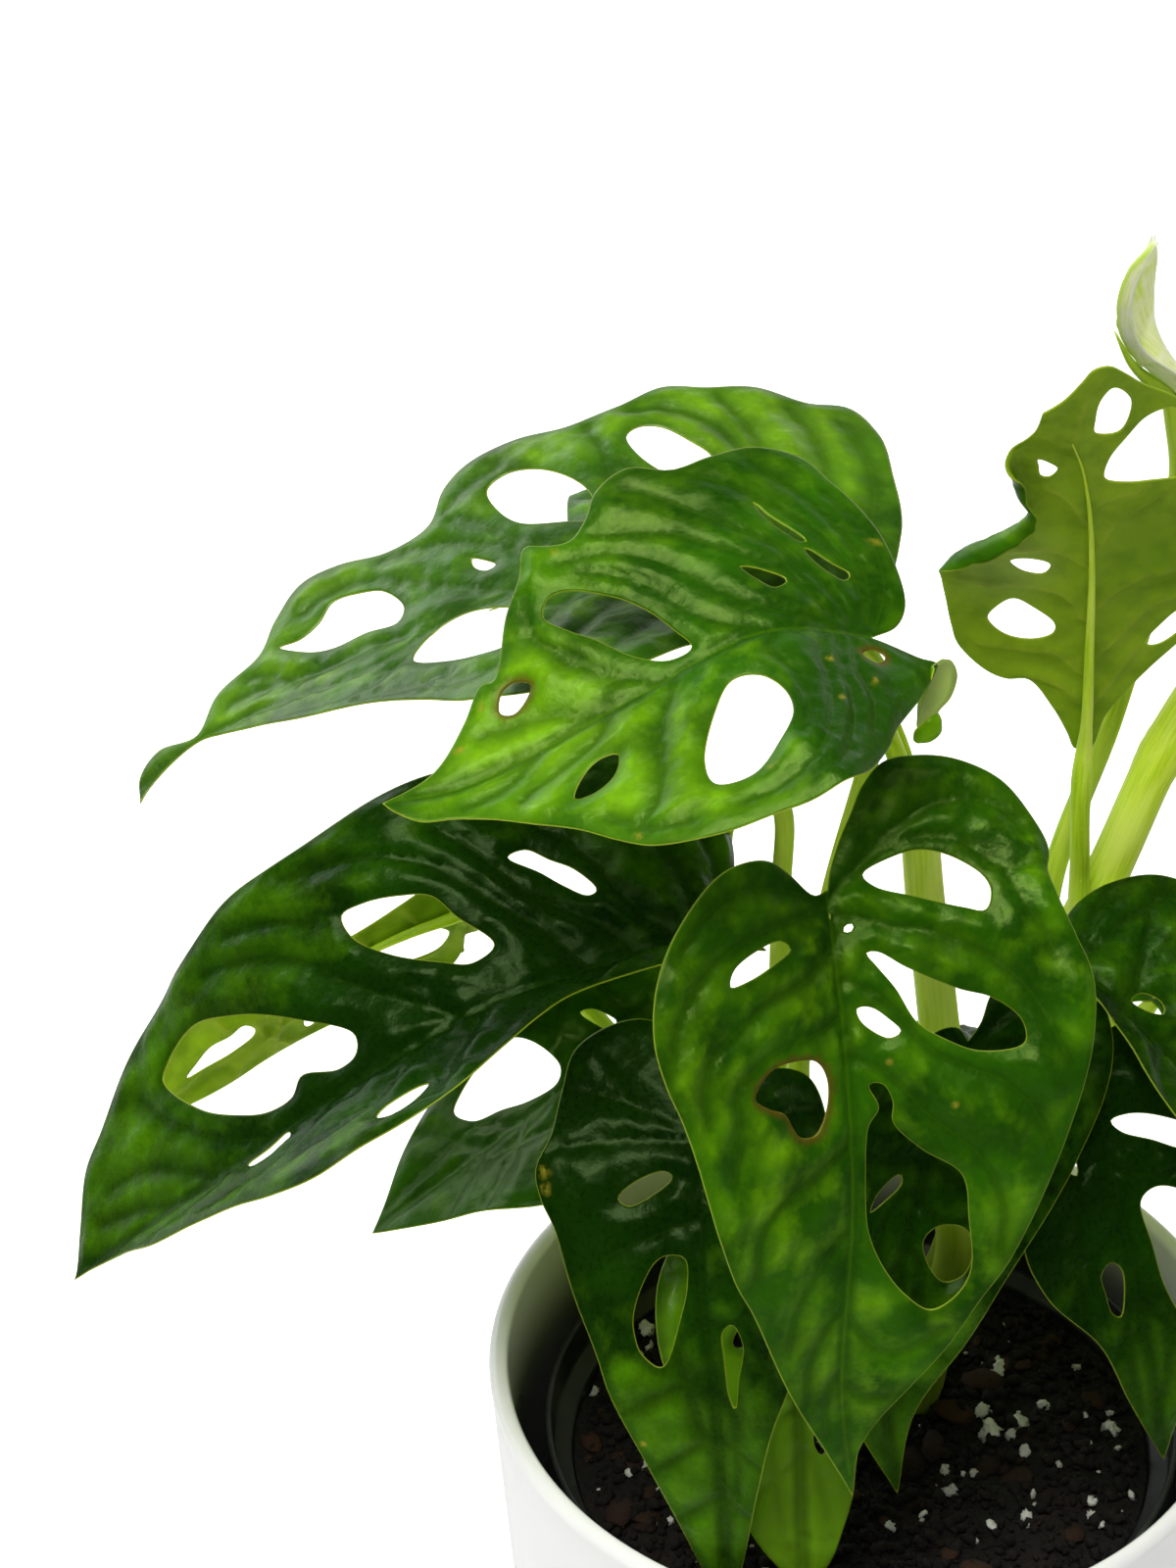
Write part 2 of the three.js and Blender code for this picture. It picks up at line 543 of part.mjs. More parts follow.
// ---- A blade: one thin closed body, its two faces cut into the same triangles ----
function bladeGeometry(leaf, half = BLADE.half) {
  const surface = leafSurface(leaf);
  const halfWidth = Math.max(...[...leaf.right, ...leaf.left].map(([, out]) => out));
  const rings = [marginRing(leaf, surface.length), ...leaf.holes.map(holeRing)];
  const { points, triangles } = evenTriangles(rings, innerPoints(rings, surface.length, halfWidth));
  const count = points.length;
  const face = (offset) => points.map(({ x, y }) => (
    surface.at(x, y).addScaledVector(surface.normalAt(x, y), offset)));
  const all = [...triangles.map(([a, b, c]) => [a, b, c]),
    ...triangles.map(([a, b, c]) => [count + a, count + c, count + b])];
  const edges = new Set(triangles.flatMap(([a, b, c]) => [edgeKey(a, b), edgeKey(b, c), edgeKey(c, a)]));
  triangles.forEach(([a, b, c]) => {
    [[a, b], [b, c], [c, a]].filter(([p, q]) => !edges.has(edgeKey(q, p))).forEach(([p, q]) => {
      all.push([q, p, count + p], [q, count + p, count + q]);
    });
  });
  return indexedGeometry([...face(-half), ...face(half)], all);
}

// A petiole is cut back by the blade that it carries and by its stem, with a gap all round.
function petioleGeometry(leaf, stems) {
  const { petiole, rib, stem } = leaf;
  const thick = bladeGeometry(leaf, BLADE.half + GAP);
  const back = toVector(rib[0]).sub(toVector(rib[1])).setLength(GAP);
  const blade = toSolid(thick).add(toSolid(thick.clone().translate(back.x, back.y, back.z)));
  const through = toVector(rib[1]).lerp(toVector(petiole[petiole.length - 1]), -PETIOLE.past);
  const tube = toSolid(taperedTube([...petiole, through.toArray()], [PETIOLE.base, PETIOLE.top], PETIOLE.sides,
    PETIOLE.step));
  return toGeometry(tube.subtract(blade).subtract(stems[stem]));
}

// ---- Holders ----
// A lathe turns about its own Y axis: stand it up on Z.
function uprightLathe(profile, sides) {
  const geometry = new THREE.LatheGeometry(profile, sides).rotateX(Math.PI / 2);
  geometry.deleteAttribute('normal');
  geometry.deleteAttribute('uv');
  return mergeVertices(geometry, MERGE);
}

function planterGeometry() {
  const { height, lipRadius, wall, floor, taper, foot, lip, sides } = PLANTER;
  const outer = (z) => lipRadius - taper * (height - z);
  const inner = (z) => outer(z) - wall;
  const corner = (radius, z, size, from) => [0, 1, 2].map((i) => {
    const angle = from + (Math.PI / 4) * i;
    return new THREE.Vector2(radius + size * Math.cos(angle), z + size * Math.sin(angle));
  });
  const profile = [
    new THREE.Vector2(0, 0),
    ...corner(outer(foot) - foot, foot, foot, -Math.PI / 2),
    ...corner(outer(height) - lip, height - lip, lip, 0),
    ...corner(inner(height) + lip, height - lip, lip, Math.PI / 2),
    new THREE.Vector2(inner(floor + foot), floor + foot),
    new THREE.Vector2(inner(floor) - foot, floor),
    new THREE.Vector2(0, floor),
  ];
  return uprightLathe(profile, sides);
}

const POT_FOOT = PLANTER.floor + GAP;
const POT_TOP = POT.rimRadius - POT.step;
const potOuter = (z) => THREE.MathUtils.mapLinear(z, POT_FOOT, POT.rim, POT.baseRadius, POT_TOP);
const potInner = (z) => potOuter(z) - POT.wall;

function potGeometry() {
  const { rim, rimRadius, band, wall, foot, sides } = POT;
  const under = rim - band;
  const profile = [
    [0, POT_FOOT], [potOuter(POT_FOOT) - foot, POT_FOOT], [potOuter(POT_FOOT + foot), POT_FOOT + foot],
    [potOuter(under), under], [rimRadius - wall / 2, under], [rimRadius, rim - wall / 2],
    [rimRadius - wall / 2, rim], [rimRadius - wall, rim], [potInner(under), under],
    [potInner(POT_FOOT + wall), POT_FOOT + wall], [0, POT_FOOT + wall],
  ].map(([r, z]) => new THREE.Vector2(r, z));
  let solid = toSolid(uprightLathe(profile, sides));
  for (let i = 0; i < DRAIN.count; i += 1) {
    const { radius, ring, cut } = DRAIN;
    const hole = new THREE.CylinderGeometry(radius, radius, cut, DRAIN.sides).rotateX(Math.PI / 2);
    const angle = (2 * Math.PI * i) / DRAIN.count;
    hole.translate(ring * Math.cos(angle), ring * Math.sin(angle), POT_FOOT);
    solid = solid.subtract(toSolid(hole));
  }
  return toGeometry(solid);
}

// The soil fills the nursery pot, with an uneven top that rises a little to the middle.
function soilGeometry(stems) {
  const { level, mound, rough, edgeDrop, rings, seed } = SOIL;
  const sectors = POT.sides;
  const random = seededRandom(seed);
  const foot = POT_FOOT + POT.wall + GAP;
  const rimRadius = potInner(POT.rim - POT.band) - GAP;
  const points = [new THREE.Vector3(0, 0, level + mound)];
  for (let ring = 1; ring <= rings; ring += 1) {
    const part = ring / rings;
    for (let i = 0; i < sectors; i += 1) {
      const angle = (2 * Math.PI * i) / sectors;
      const shake = ring < rings ? rough * (2 * random() - 1) : -edgeDrop;
      points.push(new THREE.Vector3(rimRadius * part * Math.cos(angle), rimRadius * part * Math.sin(angle),
        level + mound * (1 - part) + shake));
    }
  }
  const low = points.length;
  for (let i = 0; i < sectors; i += 1) {
    const angle = (2 * Math.PI * i) / sectors;
    const radius = potInner(foot) - GAP;
    points.push(new THREE.Vector3(radius * Math.cos(angle), radius * Math.sin(angle), foot));
  }
  const bottom = points.push(new THREE.Vector3(0, 0, foot)) - 1;
  const triangles = [];
  for (let i = 0; i < sectors; i += 1) {
    const next = (i + 1) % sectors;
    triangles.push([0, 1 + i, 1 + next], [bottom, low + next, low + i]);
    for (let ring = 1; ring <= rings; ring += 1) {
      const [a, b] = [1 + (ring - 1) * sectors + i, 1 + (ring - 1) * sectors + next];
      const [c, d] = [1 + ring * sectors + next, 1 + ring * sectors + i];
      triangles.push([a, d, c], [a, c, b]);
    }
  }
  const solid = toSolid(indexedGeometry(points, triangles));
  return toGeometry(Object.values(stems).reduce((left, stem) => left.subtract(stem), solid));
}

// ---- Assembly ----
const plant = new THREE.Group();
const STEM_STEP = 12;
const stemSolids = {};
Object.entries(STEMS).forEach(([name, { path, radius }]) => {
  stemSolids[name] = toSolid(taperedTube(path, radius, STEM_SIDES, STEM_STEP, GAP));
  plant.add(meshFrom(name, taperedTube(path, radius, STEM_SIDES, STEM_STEP), COLOURS.stem));
});
plant.add(meshFrom('planter', planterGeometry(), COLOURS.glaze));
plant.add(meshFrom('nursery_pot', potGeometry(), COLOURS.potPlastic));
plant.add(meshFrom('soil', soilGeometry(stemSolids), COLOURS.soil));
Object.entries(LEAVES).forEach(([name, leaf]) => {
  let colour = DARK.includes(name) ? COLOURS.darkLeaf : COLOURS.leaf;
  if (name === 'young') colour = COLOURS.youngLeaf;
  plant.add(meshFrom(`${name}_blade`, bladeGeometry(leaf), colour));
  plant.add(meshFrom(`${name}_petiole`, petioleGeometry(leaf, stemSolids), COLOURS.stem));
});

export default plant;
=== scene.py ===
"""Looks of a monstera adansonii that grows in a nursery pot inside a white glazed planter.

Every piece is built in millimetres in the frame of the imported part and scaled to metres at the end.
"""
import math

import bpy
import numpy as np
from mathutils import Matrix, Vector, geometry


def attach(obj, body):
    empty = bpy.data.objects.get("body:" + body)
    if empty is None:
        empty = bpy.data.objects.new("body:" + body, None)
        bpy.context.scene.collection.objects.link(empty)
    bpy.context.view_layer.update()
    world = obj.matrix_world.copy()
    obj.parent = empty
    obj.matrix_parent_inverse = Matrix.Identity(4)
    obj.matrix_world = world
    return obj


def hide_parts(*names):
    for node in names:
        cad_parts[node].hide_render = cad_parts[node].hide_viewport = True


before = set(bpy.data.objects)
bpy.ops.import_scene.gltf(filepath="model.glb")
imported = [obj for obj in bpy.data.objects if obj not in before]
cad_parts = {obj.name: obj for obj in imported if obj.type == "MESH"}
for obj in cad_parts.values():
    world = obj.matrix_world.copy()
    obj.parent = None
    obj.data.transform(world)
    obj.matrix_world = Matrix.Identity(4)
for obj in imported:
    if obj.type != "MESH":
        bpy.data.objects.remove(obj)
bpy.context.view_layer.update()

MM = 0.001
TURN = 2 * math.pi
SEED = 11
random = np.random.default_rng(SEED)

# ---- Stems: [x, y, z] along the middle from the root end up, and the radius at both ends ----
STEMS = {
    "stem_main": {
        "path": [[11, 12, 66], [12, 11, 112], [19, 10, 151], [15, 9, 190], [13, 8, 212], [8, 6, 252],
                 [6.5, 6, 268]],
        "radius": (5.2, 3.7),
    },
    "stem_left": {"path": [[-5, 8, 66], [-6, 7, 112], [-9, 4, 145], [-12, 3, 176]], "radius": (4.8, 4.0)},
    "stem_right": {
        "path": [[15, 38, 66], [19, 45, 108], [26, 38, 150], [35, 27, 208], [46, 26, 240], [58, 34, 269],
                 [72, 38, 294]],
        "radius": (5.2, 4.2),
    },
}

# ---- Leaves: [along, out] is a place on the blade, along from the junction and out from the midrib ----
# rib: [x, y, z] along the midrib: a point behind the junction, the junction, and so on to the tip. petiole:
# [x, y, z] from its stem up to just short of the junction. keel: the share of the blade that it runs under.
# face: where the upper side looks. fold: degrees that each half rises beside the midrib. curl: degrees that
# each half bends by on its way out to CURL_REACH. right, left: the margin as [along, out]. holes: [along,
# out, length, width, turn], or a ring of [along, out]. veins: lines of [along, out]; without them they grow
# by themselves, vein_gap apart. midrib: where it leaves out 0. quilt: how far the tissue bulges between the
# veins. calm: the share of it that is gone towards the tip. wave: how far the margins wave. rolls: [side,
# middle along, half length, where it starts, degrees per mm] of a margin that rolls up or under. laps: the
# two long sides of a small lobe folded under, as [x, y, z]. glow: [along, out, size,
# strength] of patches of painted light, and of painted shade where the strength is below zero. spots: [along,
# out, size] of dry specks. scorched: numbers of the holes with a brown edge.
LEAVES = {}
LEAVES["high_left"] = {
    "rib": [[-1, 6, 311], [-13, 10, 316], [-56, 14, 319], [-92, 17, 303], [-120, 18, 287], [-144, 10, 269]],
    "face": [-0.2, -0.05, 1],
    "fold": 14,
    "curl": -12,
    "right": [[-8, 8], [-6.5, 21], [-3, 34], [0, 46], [4, 53], [9, 53], [17, 55.5], [26, 53.5], [34, 53],
        [42, 46.5], [50, 43], [60, 44], [68, 41], [74, 35], [77.5, 27], [87, 25], [98, 26.5], [105, 25.5],
        [110, 19], [114, 12], [123, 9], [130, 4], [138, 7.5], [144, 5.5]],
    "left": [[-9, 8], [-6, 17], [6, 21], [17, 22], [25, 27], [36, 38], [50, 42], [63, 37.5], [74, 30],
        [86, 23.5], [105, 16], [118, 7], [126, 0], [130, -2.3], [137, -2.8], [144, -1.5]],
    "holes": [[[65, 30.5], [61, 33.5], [56, 32.5], [49, 27], [45, 21], [44.5, 15], [50, 15.5], [58, 18],
         [62.5, 23]],
        [[39.5, 37], [37.5, 40], [33.5, 40.5], [28, 37], [24, 33], [24, 28], [28, 26], [32, 27], [37, 31.5]],
        [[68.5, 13.5], [66, 12], [63.5, 9.5], [65.5, 9], [68, 11]],
        [[110, 11.5], [106, 11], [102, 13], [99, 17], [93, 16.5], [88, 14.5], [83.5, 8], [85, 5], [92, 5.5],
         [99, 5], [104, 6.5]],
        [[79.5, -12], [78.5, -5], [75, -1], [70, 0], [64, -2], [57, -8], [55, -14.5], [58, -21], [64, -21],
         [71, -18.5]]],
    "keel": 0.5,
    "quilt": 1.0,
    "midrib": [[60, 0], [72, -1], [80, -3], [88, -9], [98, -9.5], [108, -6], [118, -2], [128, 2], [140, 3]],
    "veins": [[[60, 1], [71, 7], [82, 14], [90, 18], [99, 19.5], [105, 17]],
        [[52, 3], [60, 12], [68, 17], [78, 21.5], [89, 23]],
        [[42, 3], [53, 10], [60, 15], [66, 21], [73, 26]], [[63, 36], [69, 33], [74, 28]],
        [[30, 2], [36, 13], [41, 23], [43.5, 33], [47, 41]],
        [[10, 14], [16, 29], [22, 40], [27, 44], [33, 46], [40, 44.5]],
        [[6, 2], [11, 20], [15, 34], [19, 44], [24, 51]], [[2, 2], [3.5, 22], [5, 34], [8.5, 44], [12, 50]],
        [[-2, 3], [-2.5, 16], [-2, 27], [0, 37], [4, 48]], [[20, 2], [26, 14], [32, 22], [40, 30]],
        [[80, -3], [82, -11], [88, -16], [97, -16], [108, -11]],
        [[44, -2], [50, -14], [53, -24], [62, -29], [74, -26]],
        [[84, 0], [92, 2], [98, 0], [106, 1], [114, 3.5], [122, 5]], [[4, -2], [8, -11], [14, -18]],
        [[20, -2], [28, -14], [38, -30]], [[31, -2], [41, -16], [50, -34]], [[112, 5], [117, 8]],
        [[70, -24], [80, -23], [90, -19.5]]],
    "glow": [[25, 46, 16, 0.5], [6, 38, 12, 0.45], [122, 4, 14, 0.5], [96, 22, 10, 0.3], [54, 38, 8, 0.35],
        [68, 5, 14, -0.25], [84, -16, 12, -0.2]],
    "petiole": [[9, 6, 248], [3, 6, 279], [-7, 8, 303]],
}
LEAVES["light_front"] = {
    "rib": [[4, -20, 324], [-8, -22, 330], [-26, -28, 335], [-50, -38, 327], [-79, -46, 314],
        [-94, -50, 313]],
    "face": [-0.05, -0.3, 0.95],
    "fold": 10,
    "curl": -9,
    "right": [[-7, 4], [-8.5, 9], [-6, 17.5], [-2, 28], [1, 34], [5, 40], [11, 42], [17, 40], [21.5, 38.5],
        [26, 42], [31.5, 40.5], [35, 37], [40, 34.5], [46, 36], [50.5, 38], [54, 33], [60, 27], [65, 19.5],
        [67.5, 17], [70, 17.5], [76, 12], [85, 4.5], [91, 1.5]],
    "left": [[-9, 0.6], [-12.5, 0.8], [-16, 0.6], [-15.2, 3.5], [-11.6, 11], [-6, 20], [3, 30], [12, 37],
        [20, 40], [30, 40.5], [38, 38.5], [46, 37], [55, 32.5], [60, 27.5], [65, 21.5], [71, 16], [78, 10],
        [84, 7], [90, 6], [94, 2.5]],
    "holes": [[[53.5, 23], [51, 26], [46, 25], [39, 19.5], [35.5, 14], [33.5, 8], [32.5, 3], [37, 3],
         [42, 7], [47, 14], [50.5, 18]],
        [[30, -8], [25, -10], [22.5, -16], [24, -21.5], [30, -26], [37, -29], [42.5, -27], [42, -21],
         [36, -12.5]], [[53.5, -10], [55.5, -14], [60, -15.5], [63.5, -14.5], [61, -11], [57, -9]],
        [[64, 14.5], [61.5, 12.5], [64, 10], [67, 9], [69, 10.5], [67, 14]],
        [[19, 14.5], [15, 12.5], [12.5, 10.5], [15, 9], [17.5, 11.5]],
        [[8, 18], [4, 15], [1, 13], [2, 11.5], [5.5, 13.5], [7.5, 16]],
        [[1, -5], [-2, -3], [-4.5, -4], [-2, -6.5]],
        [[13.5, 29], [11.8, 25.5], [7.4, 19.6], [8.4, 19.4], [12.6, 25]]],
    "scorched": [3, 6],
    "quilt": 0.95,
    "laps": [[[[5.3, -24, 324.2], [4.9, -25, 323.3], [3.7, -27, 320.8], [2.5, -27, 317.5], [2.5, -26, 314.6],
         [2.6, -25, 311.9], [3.1, -25, 310.2]], [[6.9, -20, 323.6], [8.9, -18, 321.7], [10, -18, 318.6],
         [8.9, -20, 315.2], [6.5, -22, 313.1], [6, -23, 311], [5.1, -24, 309.5]]],
        [[[6.2, -24, 314.2], [6.9, -26, 313.6], [6.9, -27, 312.4], [5.6, -27, 310.6], [3, -27, 309.8]],
         [[5.8, -25, 314.9], [4.3, -27.5, 315.7], [3, -28, 314.6], [1.9, -28, 313.1], [1.8, -27, 311.1]]]],
    "veins": [[[3, 2], [8, 6.5], [12, 11.8], [17, 16.3], [21.5, 21], [25, 25.5], [30.5, 30], [36, 33]],
        [[6.5, 1.5], [16, 4], [21, 8], [25, 14], [28, 20], [31, 24.5], [35, 28], [40, 30.5], [46, 31.5]],
        [[2, 3], [5, 8.5], [9.5, 14], [12.5, 18.5], [17.5, 23.5], [21, 28], [24, 33], [27, 38]],
        [[-0.5, 3], [-0.5, 9], [1.5, 15], [5, 20.5], [9, 26], [14, 31.5], [19, 36]],
        [[-1.5, 3], [-2, 9.5], [-0.5, 17.5], [2.5, 25], [6.5, 31], [11, 37]],
        [[-3, 2.5], [-4.5, 10], [-3.5, 18], [-1, 25.5], [2.5, 32]],
        [[19.5, 1.5], [24, 3.5], [28, 8], [31, 14], [33, 19], [37, 24], [42, 28]],
        [[40.5, 1], [45, 4], [50, 9], [54, 15], [57, 21], [55, 28]],
        [[51.5, 1], [56, 2], [60, 4.5], [66, 6.5], [74, 8]],
        [[8, -1], [10.5, -6], [12, -16], [16.5, -25.5], [24, -32], [32, -34], [40, -33.5]],
        [[38, -1], [43, -6.5], [47, -14], [49, -20], [52, -25], [57, -27]],
        [[51.5, -1], [55, -4.5], [62, -6.5], [72, -9]], [[2, -1.5], [3.5, -9], [2, -17], [4, -25]],
        [[5, -1.5], [7, -10], [8, -20], [13, -30], [20, -36]],
        [[18, -1], [20.5, -5], [18.5, -12], [19, -20], [24, -26.5]], [[66, -1], [72, -4], [82, -5.5]],
        [[48, -32], [54, -29], [60, -22]]],
    "glow": [[76, 2, 15, 0.5], [60, -3, 13, 0.45], [62, 10, 10, 0.4], [50, -22, 13, 0.45], [42, 31, 8, 0.3],
        [32, -32, 10, 0.3], [10, 24, 18, -0.06], [4, -14, 14, -0.5], [16, -28, 14, -0.55],
        [30, 12, 10, -0.25]],
    "spots": [[9, -8, 0.9], [11, -18.5, 0.8], [0.5, -12.5, 0.9], [33.5, -30, 0.8], [45, 33.5, 0.8],
        [57, -29, 0.9], [-3, 21.5, 0.8], [71.5, 13, 0.9], [79, 7, 1.0]],
    "petiole": [[-11, 3, 168], [-13, -2, 193], [-16, -6, 216], [-11, -10, 262], [-5, -10, 293],
        [-3, -16, 314]],
}
LEAVES["hanging_front"] = {
    "rib": [[-14, -24, 287], [-13, -34, 279], [-10, -49, 258], [-8, -60, 229], [-9, -66, 185],
        [-6, -65, 157]],
    "face": [0.3, -0.9, 0.25],
    "fold": 18,
    "curl": -14,
    "right": [[-1, 3], [-4.5, 8.5], [-6.3, 13], [-5, 20.5], [-1, 28], [6, 35.5], [13, 39], [21, 40],
        [28, 38.5], [34, 36], [42, 33.5], [50, 31.5], [58, 29.5], [68, 26], [77, 21], [93.5, 13.5],
        [109, 6.5], [119.5, 3]],
    "left": [[-5, 0.7], [-11, 3], [-17, 6], [-22, 8.5], [-26.5, 13], [-27.5, 20], [-26.5, 27], [-22.5, 35],
        [-16, 40], [-9, 43], [-3, 42], [4, 43], [12, 45.5], [20, 48], [30, 47], [39, 44.5], [48, 41],
        [59.5, 36], [71, 30.5], [79, 25.5], [92, 19.5], [101, 13.5], [112, 5.5], [119, 2]],
    "holes": [[[-4.5, -7], [-7.5, -12], [-9, -18], [-7.5, -24], [-3.5, -29], [1, -30.5], [5, -29], [4, -25],
         [0.5, -15.5], [-2, -9]],
        [[10.5, -6], [10.5, -8], [14, -13], [19, -22], [21.5, -28.5], [26, -33.5], [30, -33.5], [30.5, -25],
         [27.5, -18.5], [24, -13.8], [17.5, -10.5], [13, -7.5]],
        [[20.5, -3], [20.5, -5.5], [23, -8.7], [25.5, -10.7], [26.5, -8.5], [24.5, -5], [22.5, -3.3]],
        [[13, 23.5], [10.5, 22.5], [7.5, 16.5], [6.5, 11.5], [8, 9.8], [10.5, 14], [12.5, 19.5]],
        [[33, 20.5], [29, 17], [28, 12], [29, 6.5], [32.5, 4.5], [38, 5], [42.5, 8], [42, 11.5], [37, 14.5],
         [35.5, 17.5]],
        [[35, -4], [35, -6.5], [38.5, -8.2], [42.5, -8], [48, -13], [53.5, -20.5], [62, -22], [73, -23],
         [79, -20], [81.5, -16], [78, -11], [72, -6.5], [64, -3.2], [52, -2.6], [43, -3.5], [39.5, -5.6]],
        [[6, -2.2], [4.9, -2.8], [4.9, -4.3], [6.2, -3.6]]],
    "scorched": [4],
    "quilt": 1.3,
    "calm": 0.5,
    "veins": [[[-1, -1], [-5.5, -5], [-11.5, -11.5], [-16.5, -18.5], [-18.5, -25], [-18, -32], [-14, -37.5]],
        [[-4.5, -5], [-10, -13], [-11.8, -20], [-10, -27], [-4.5, -33], [4, -36.5], [14, -41]],
        [[2.5, -1], [4, -6], [6, -11.5], [7.5, -17.5], [11, -24], [15.5, -30.5], [21.5, -36], [35, -42]],
        [[15, -1], [17.5, -6], [22, -10.4], [27, -13.7], [31, -18], [33.5, -23], [37, -29.5], [42.5, -34.5],
         [50, -37.5]],
        [[29.5, -1], [32, -6], [37, -11], [41, -14], [45.5, -19], [51, -24.5], [60, -28.5], [68, -28.5]],
        [[83.5, -1], [88, -4], [92, -9], [90, -14], [86, -19]], [[99, -1], [103, -4], [103, -8.5]],
        [[0.5, 1], [-1.5, 7.5], [-2, 15], [-1, 21.5], [2, 27.5], [6.5, 33]],
        [[1.5, 1], [3, 7.5], [5, 16.5], [8.5, 25], [12.5, 30.5], [18, 35], [24, 36.5]],
        [[8.5, 1], [11.5, 3], [14.5, 8.5], [17.5, 16.5], [21, 23.5], [25, 28.5], [30.5, 31], [36, 30.5]],
        [[22, 1], [24, 6], [25, 13], [28, 20], [32, 24], [40, 24], [48, 26]],
        [[47, 1], [51, 8.5], [54, 15], [60, 20.5], [68, 21]], [[64, 1], [70, 6.5], [78, 11.5], [86, 13]],
        [[80.5, 1], [86, 5], [92.5, 8], [100, 8]], [[96, 1], [103, 4], [110, 4]], [[58, -1.5], [66, -1.2]]],
    "glow": [[14, 34, 12, 0.12], [80, 0, 40, -0.12], [42, -30, 16, -0.22], [-14, -24, 12, -0.12],
        [55, 20, 9, 0.35], [36, 28, 8, 0.25], [62, -28, 9, 0.3], [88, 3, 10, 0.35], [17, 8, 8, 0.2],
        [105, -2, 8, 0.2]],
    "spots": [[31, -8, 0.7], [39.5, -19.5, 0.7]],
    "petiole": [[-9, 5, 168], [-4, 3, 190], [-5, -1, 212], [-9, -12, 245], [-12, -25, 270]],
}
LEAVES["dark_left"] = {
    "rib": [[-27, -3, 247], [-36, -8, 251], [-56, -17, 250], [-75, -24, 247], [-103, -30, 231],
        [-126, -29, 210], [-160, -20, 173]],
    "face": [-0.1, -0.19, 0.98],
    "fold": 27,
    "curl": -9,
    "right": [[-8, 5], [-13, 14], [-15, 26], [-9, 35], [8, 42], [22, 46.5], [37, 48.5], [54, 48], [71, 48.5],
        [86, 48.5], [99, 45], [118, 40.5], [128.5, 35.5], [141, 25.5], [148, 20], [153, 10]],
    "left": [[-8, 6], [-9, 10], [2, 10], [15, 7.5], [25, 7], [31, 8.5], [36.5, 12], [43, 17.5], [47, 20.5],
        [51.5, 23.5], [57, 25.5], [65, 26.5], [72, 26.5], [80, 28], [89.5, 25], [98.5, 20.5], [110.5, 16.5],
        [123.5, 13.5], [137.5, 5.5], [151, 0.7]],
    "holes": [[[30, 27], [26, 27.5], [22, 24], [18, 20.5], [15.5, 15], [17.5, 14.5], [21.5, 18], [25, 22]],
        [[61.5, 31], [56.5, 30.5], [50, 28], [45, 25], [42.5, 19], [38.5, 11], [43.5, 9.5], [48.5, 12.5],
         [56, 18.5], [61.5, 26]],
        [[102, -2.5], [96.5, -2], [91.5, -0.8], [90.3, -3.5], [94, -5.8], [99.5, -5.3]],
        [[69, -18.5], [67.5, -16.5], [61, -16], [58.5, -17.5], [61.5, -20.5], [66, -21]],
        [[119.5, 26], [117, 28.5], [112, 30.5], [104, 31], [94.5, 27.5], [87, 23.5], [79, 17.5], [70, 9],
         [71.5, 5.5], [76, 4.8], [84, 8], [88, 5.5], [94.5, 6], [102, 9.5], [111, 15.5]]],
    "veins": [[[5.5, 1], [8, 6], [11.5, 13.5], [14, 20.5], [17.5, 27.5], [23, 33], [32, 37]],
        [[0, 1.5], [-1, 7.5], [0, 14], [2, 22], [6, 30], [12, 36]], [[-3, 2], [-7, 10], [-8, 18], [-5, 27]],
        [[23.5, 1], [29, 11], [33.5, 16.5], [37.5, 22.5], [41, 28.5], [45, 33], [51, 37.5], [57, 40.5],
         [71, 45]], [[13, 1], [18, 9], [25, 15], [31, 22], [35, 30], [40, 37]],
        [[50, 1], [57, 8.5], [64, 15.5], [67.5, 20], [71, 24.5], [75.5, 29], [82, 33], [89, 36], [97, 38]],
        [[112, 1], [122, 7.5], [132, 12], [141, 13]], [[96, 1], [106, 6], [114, 12], [121.5, 18], [127, 25]],
        [[60, -1], [64, -7], [70, -12], [78, -13.5], [87, -14]],
        [[33, -1], [37, -5], [42, -12], [47, -17.5]],
        [[82, -1], [84, -6], [90, -10], [99, -11.5], [108, -11]], [[46, -1], [50, -8], [54, -15], [57, -22]],
        [[108, -1], [116, -5], [126, -7]], [[125, 1], [135, 5], [146, 7]], [[20, -1], [25, -4.5]],
        [[68, 33], [76, 38], [88, 42]]],
    "glow": [[-8, 18, 11, 0.5], [138, 8, 16, 0.5], [120, -6, 13, 0.4], [96, -15, 12, 0.35],
        [128, 22, 12, 0.3], [75, -20, 10, 0.25], [78, 40, 14, 0.25], [108, 36, 12, 0.3], [35, 8, 18, -0.5],
        [60, 7, 18, -0.5], [84, 1, 15, -0.4], [50, -8, 14, -0.4], [40, 30, 12, -0.15]],
    "quilt": 1.35,
    "calm": 0.4,
    "keel": 0.5,
    "petiole": [[-12, 5, 162], [-19, 6, 190], [-19.5, 4, 222], [-19.8, 3, 254], [-20, 4, 272],
        [-23.6, 11, 272.6], [-28.7, 17, 263.5], [-30.8, 20, 254], [-30.6, 17, 249], [-28.3, 8, 245]],
}
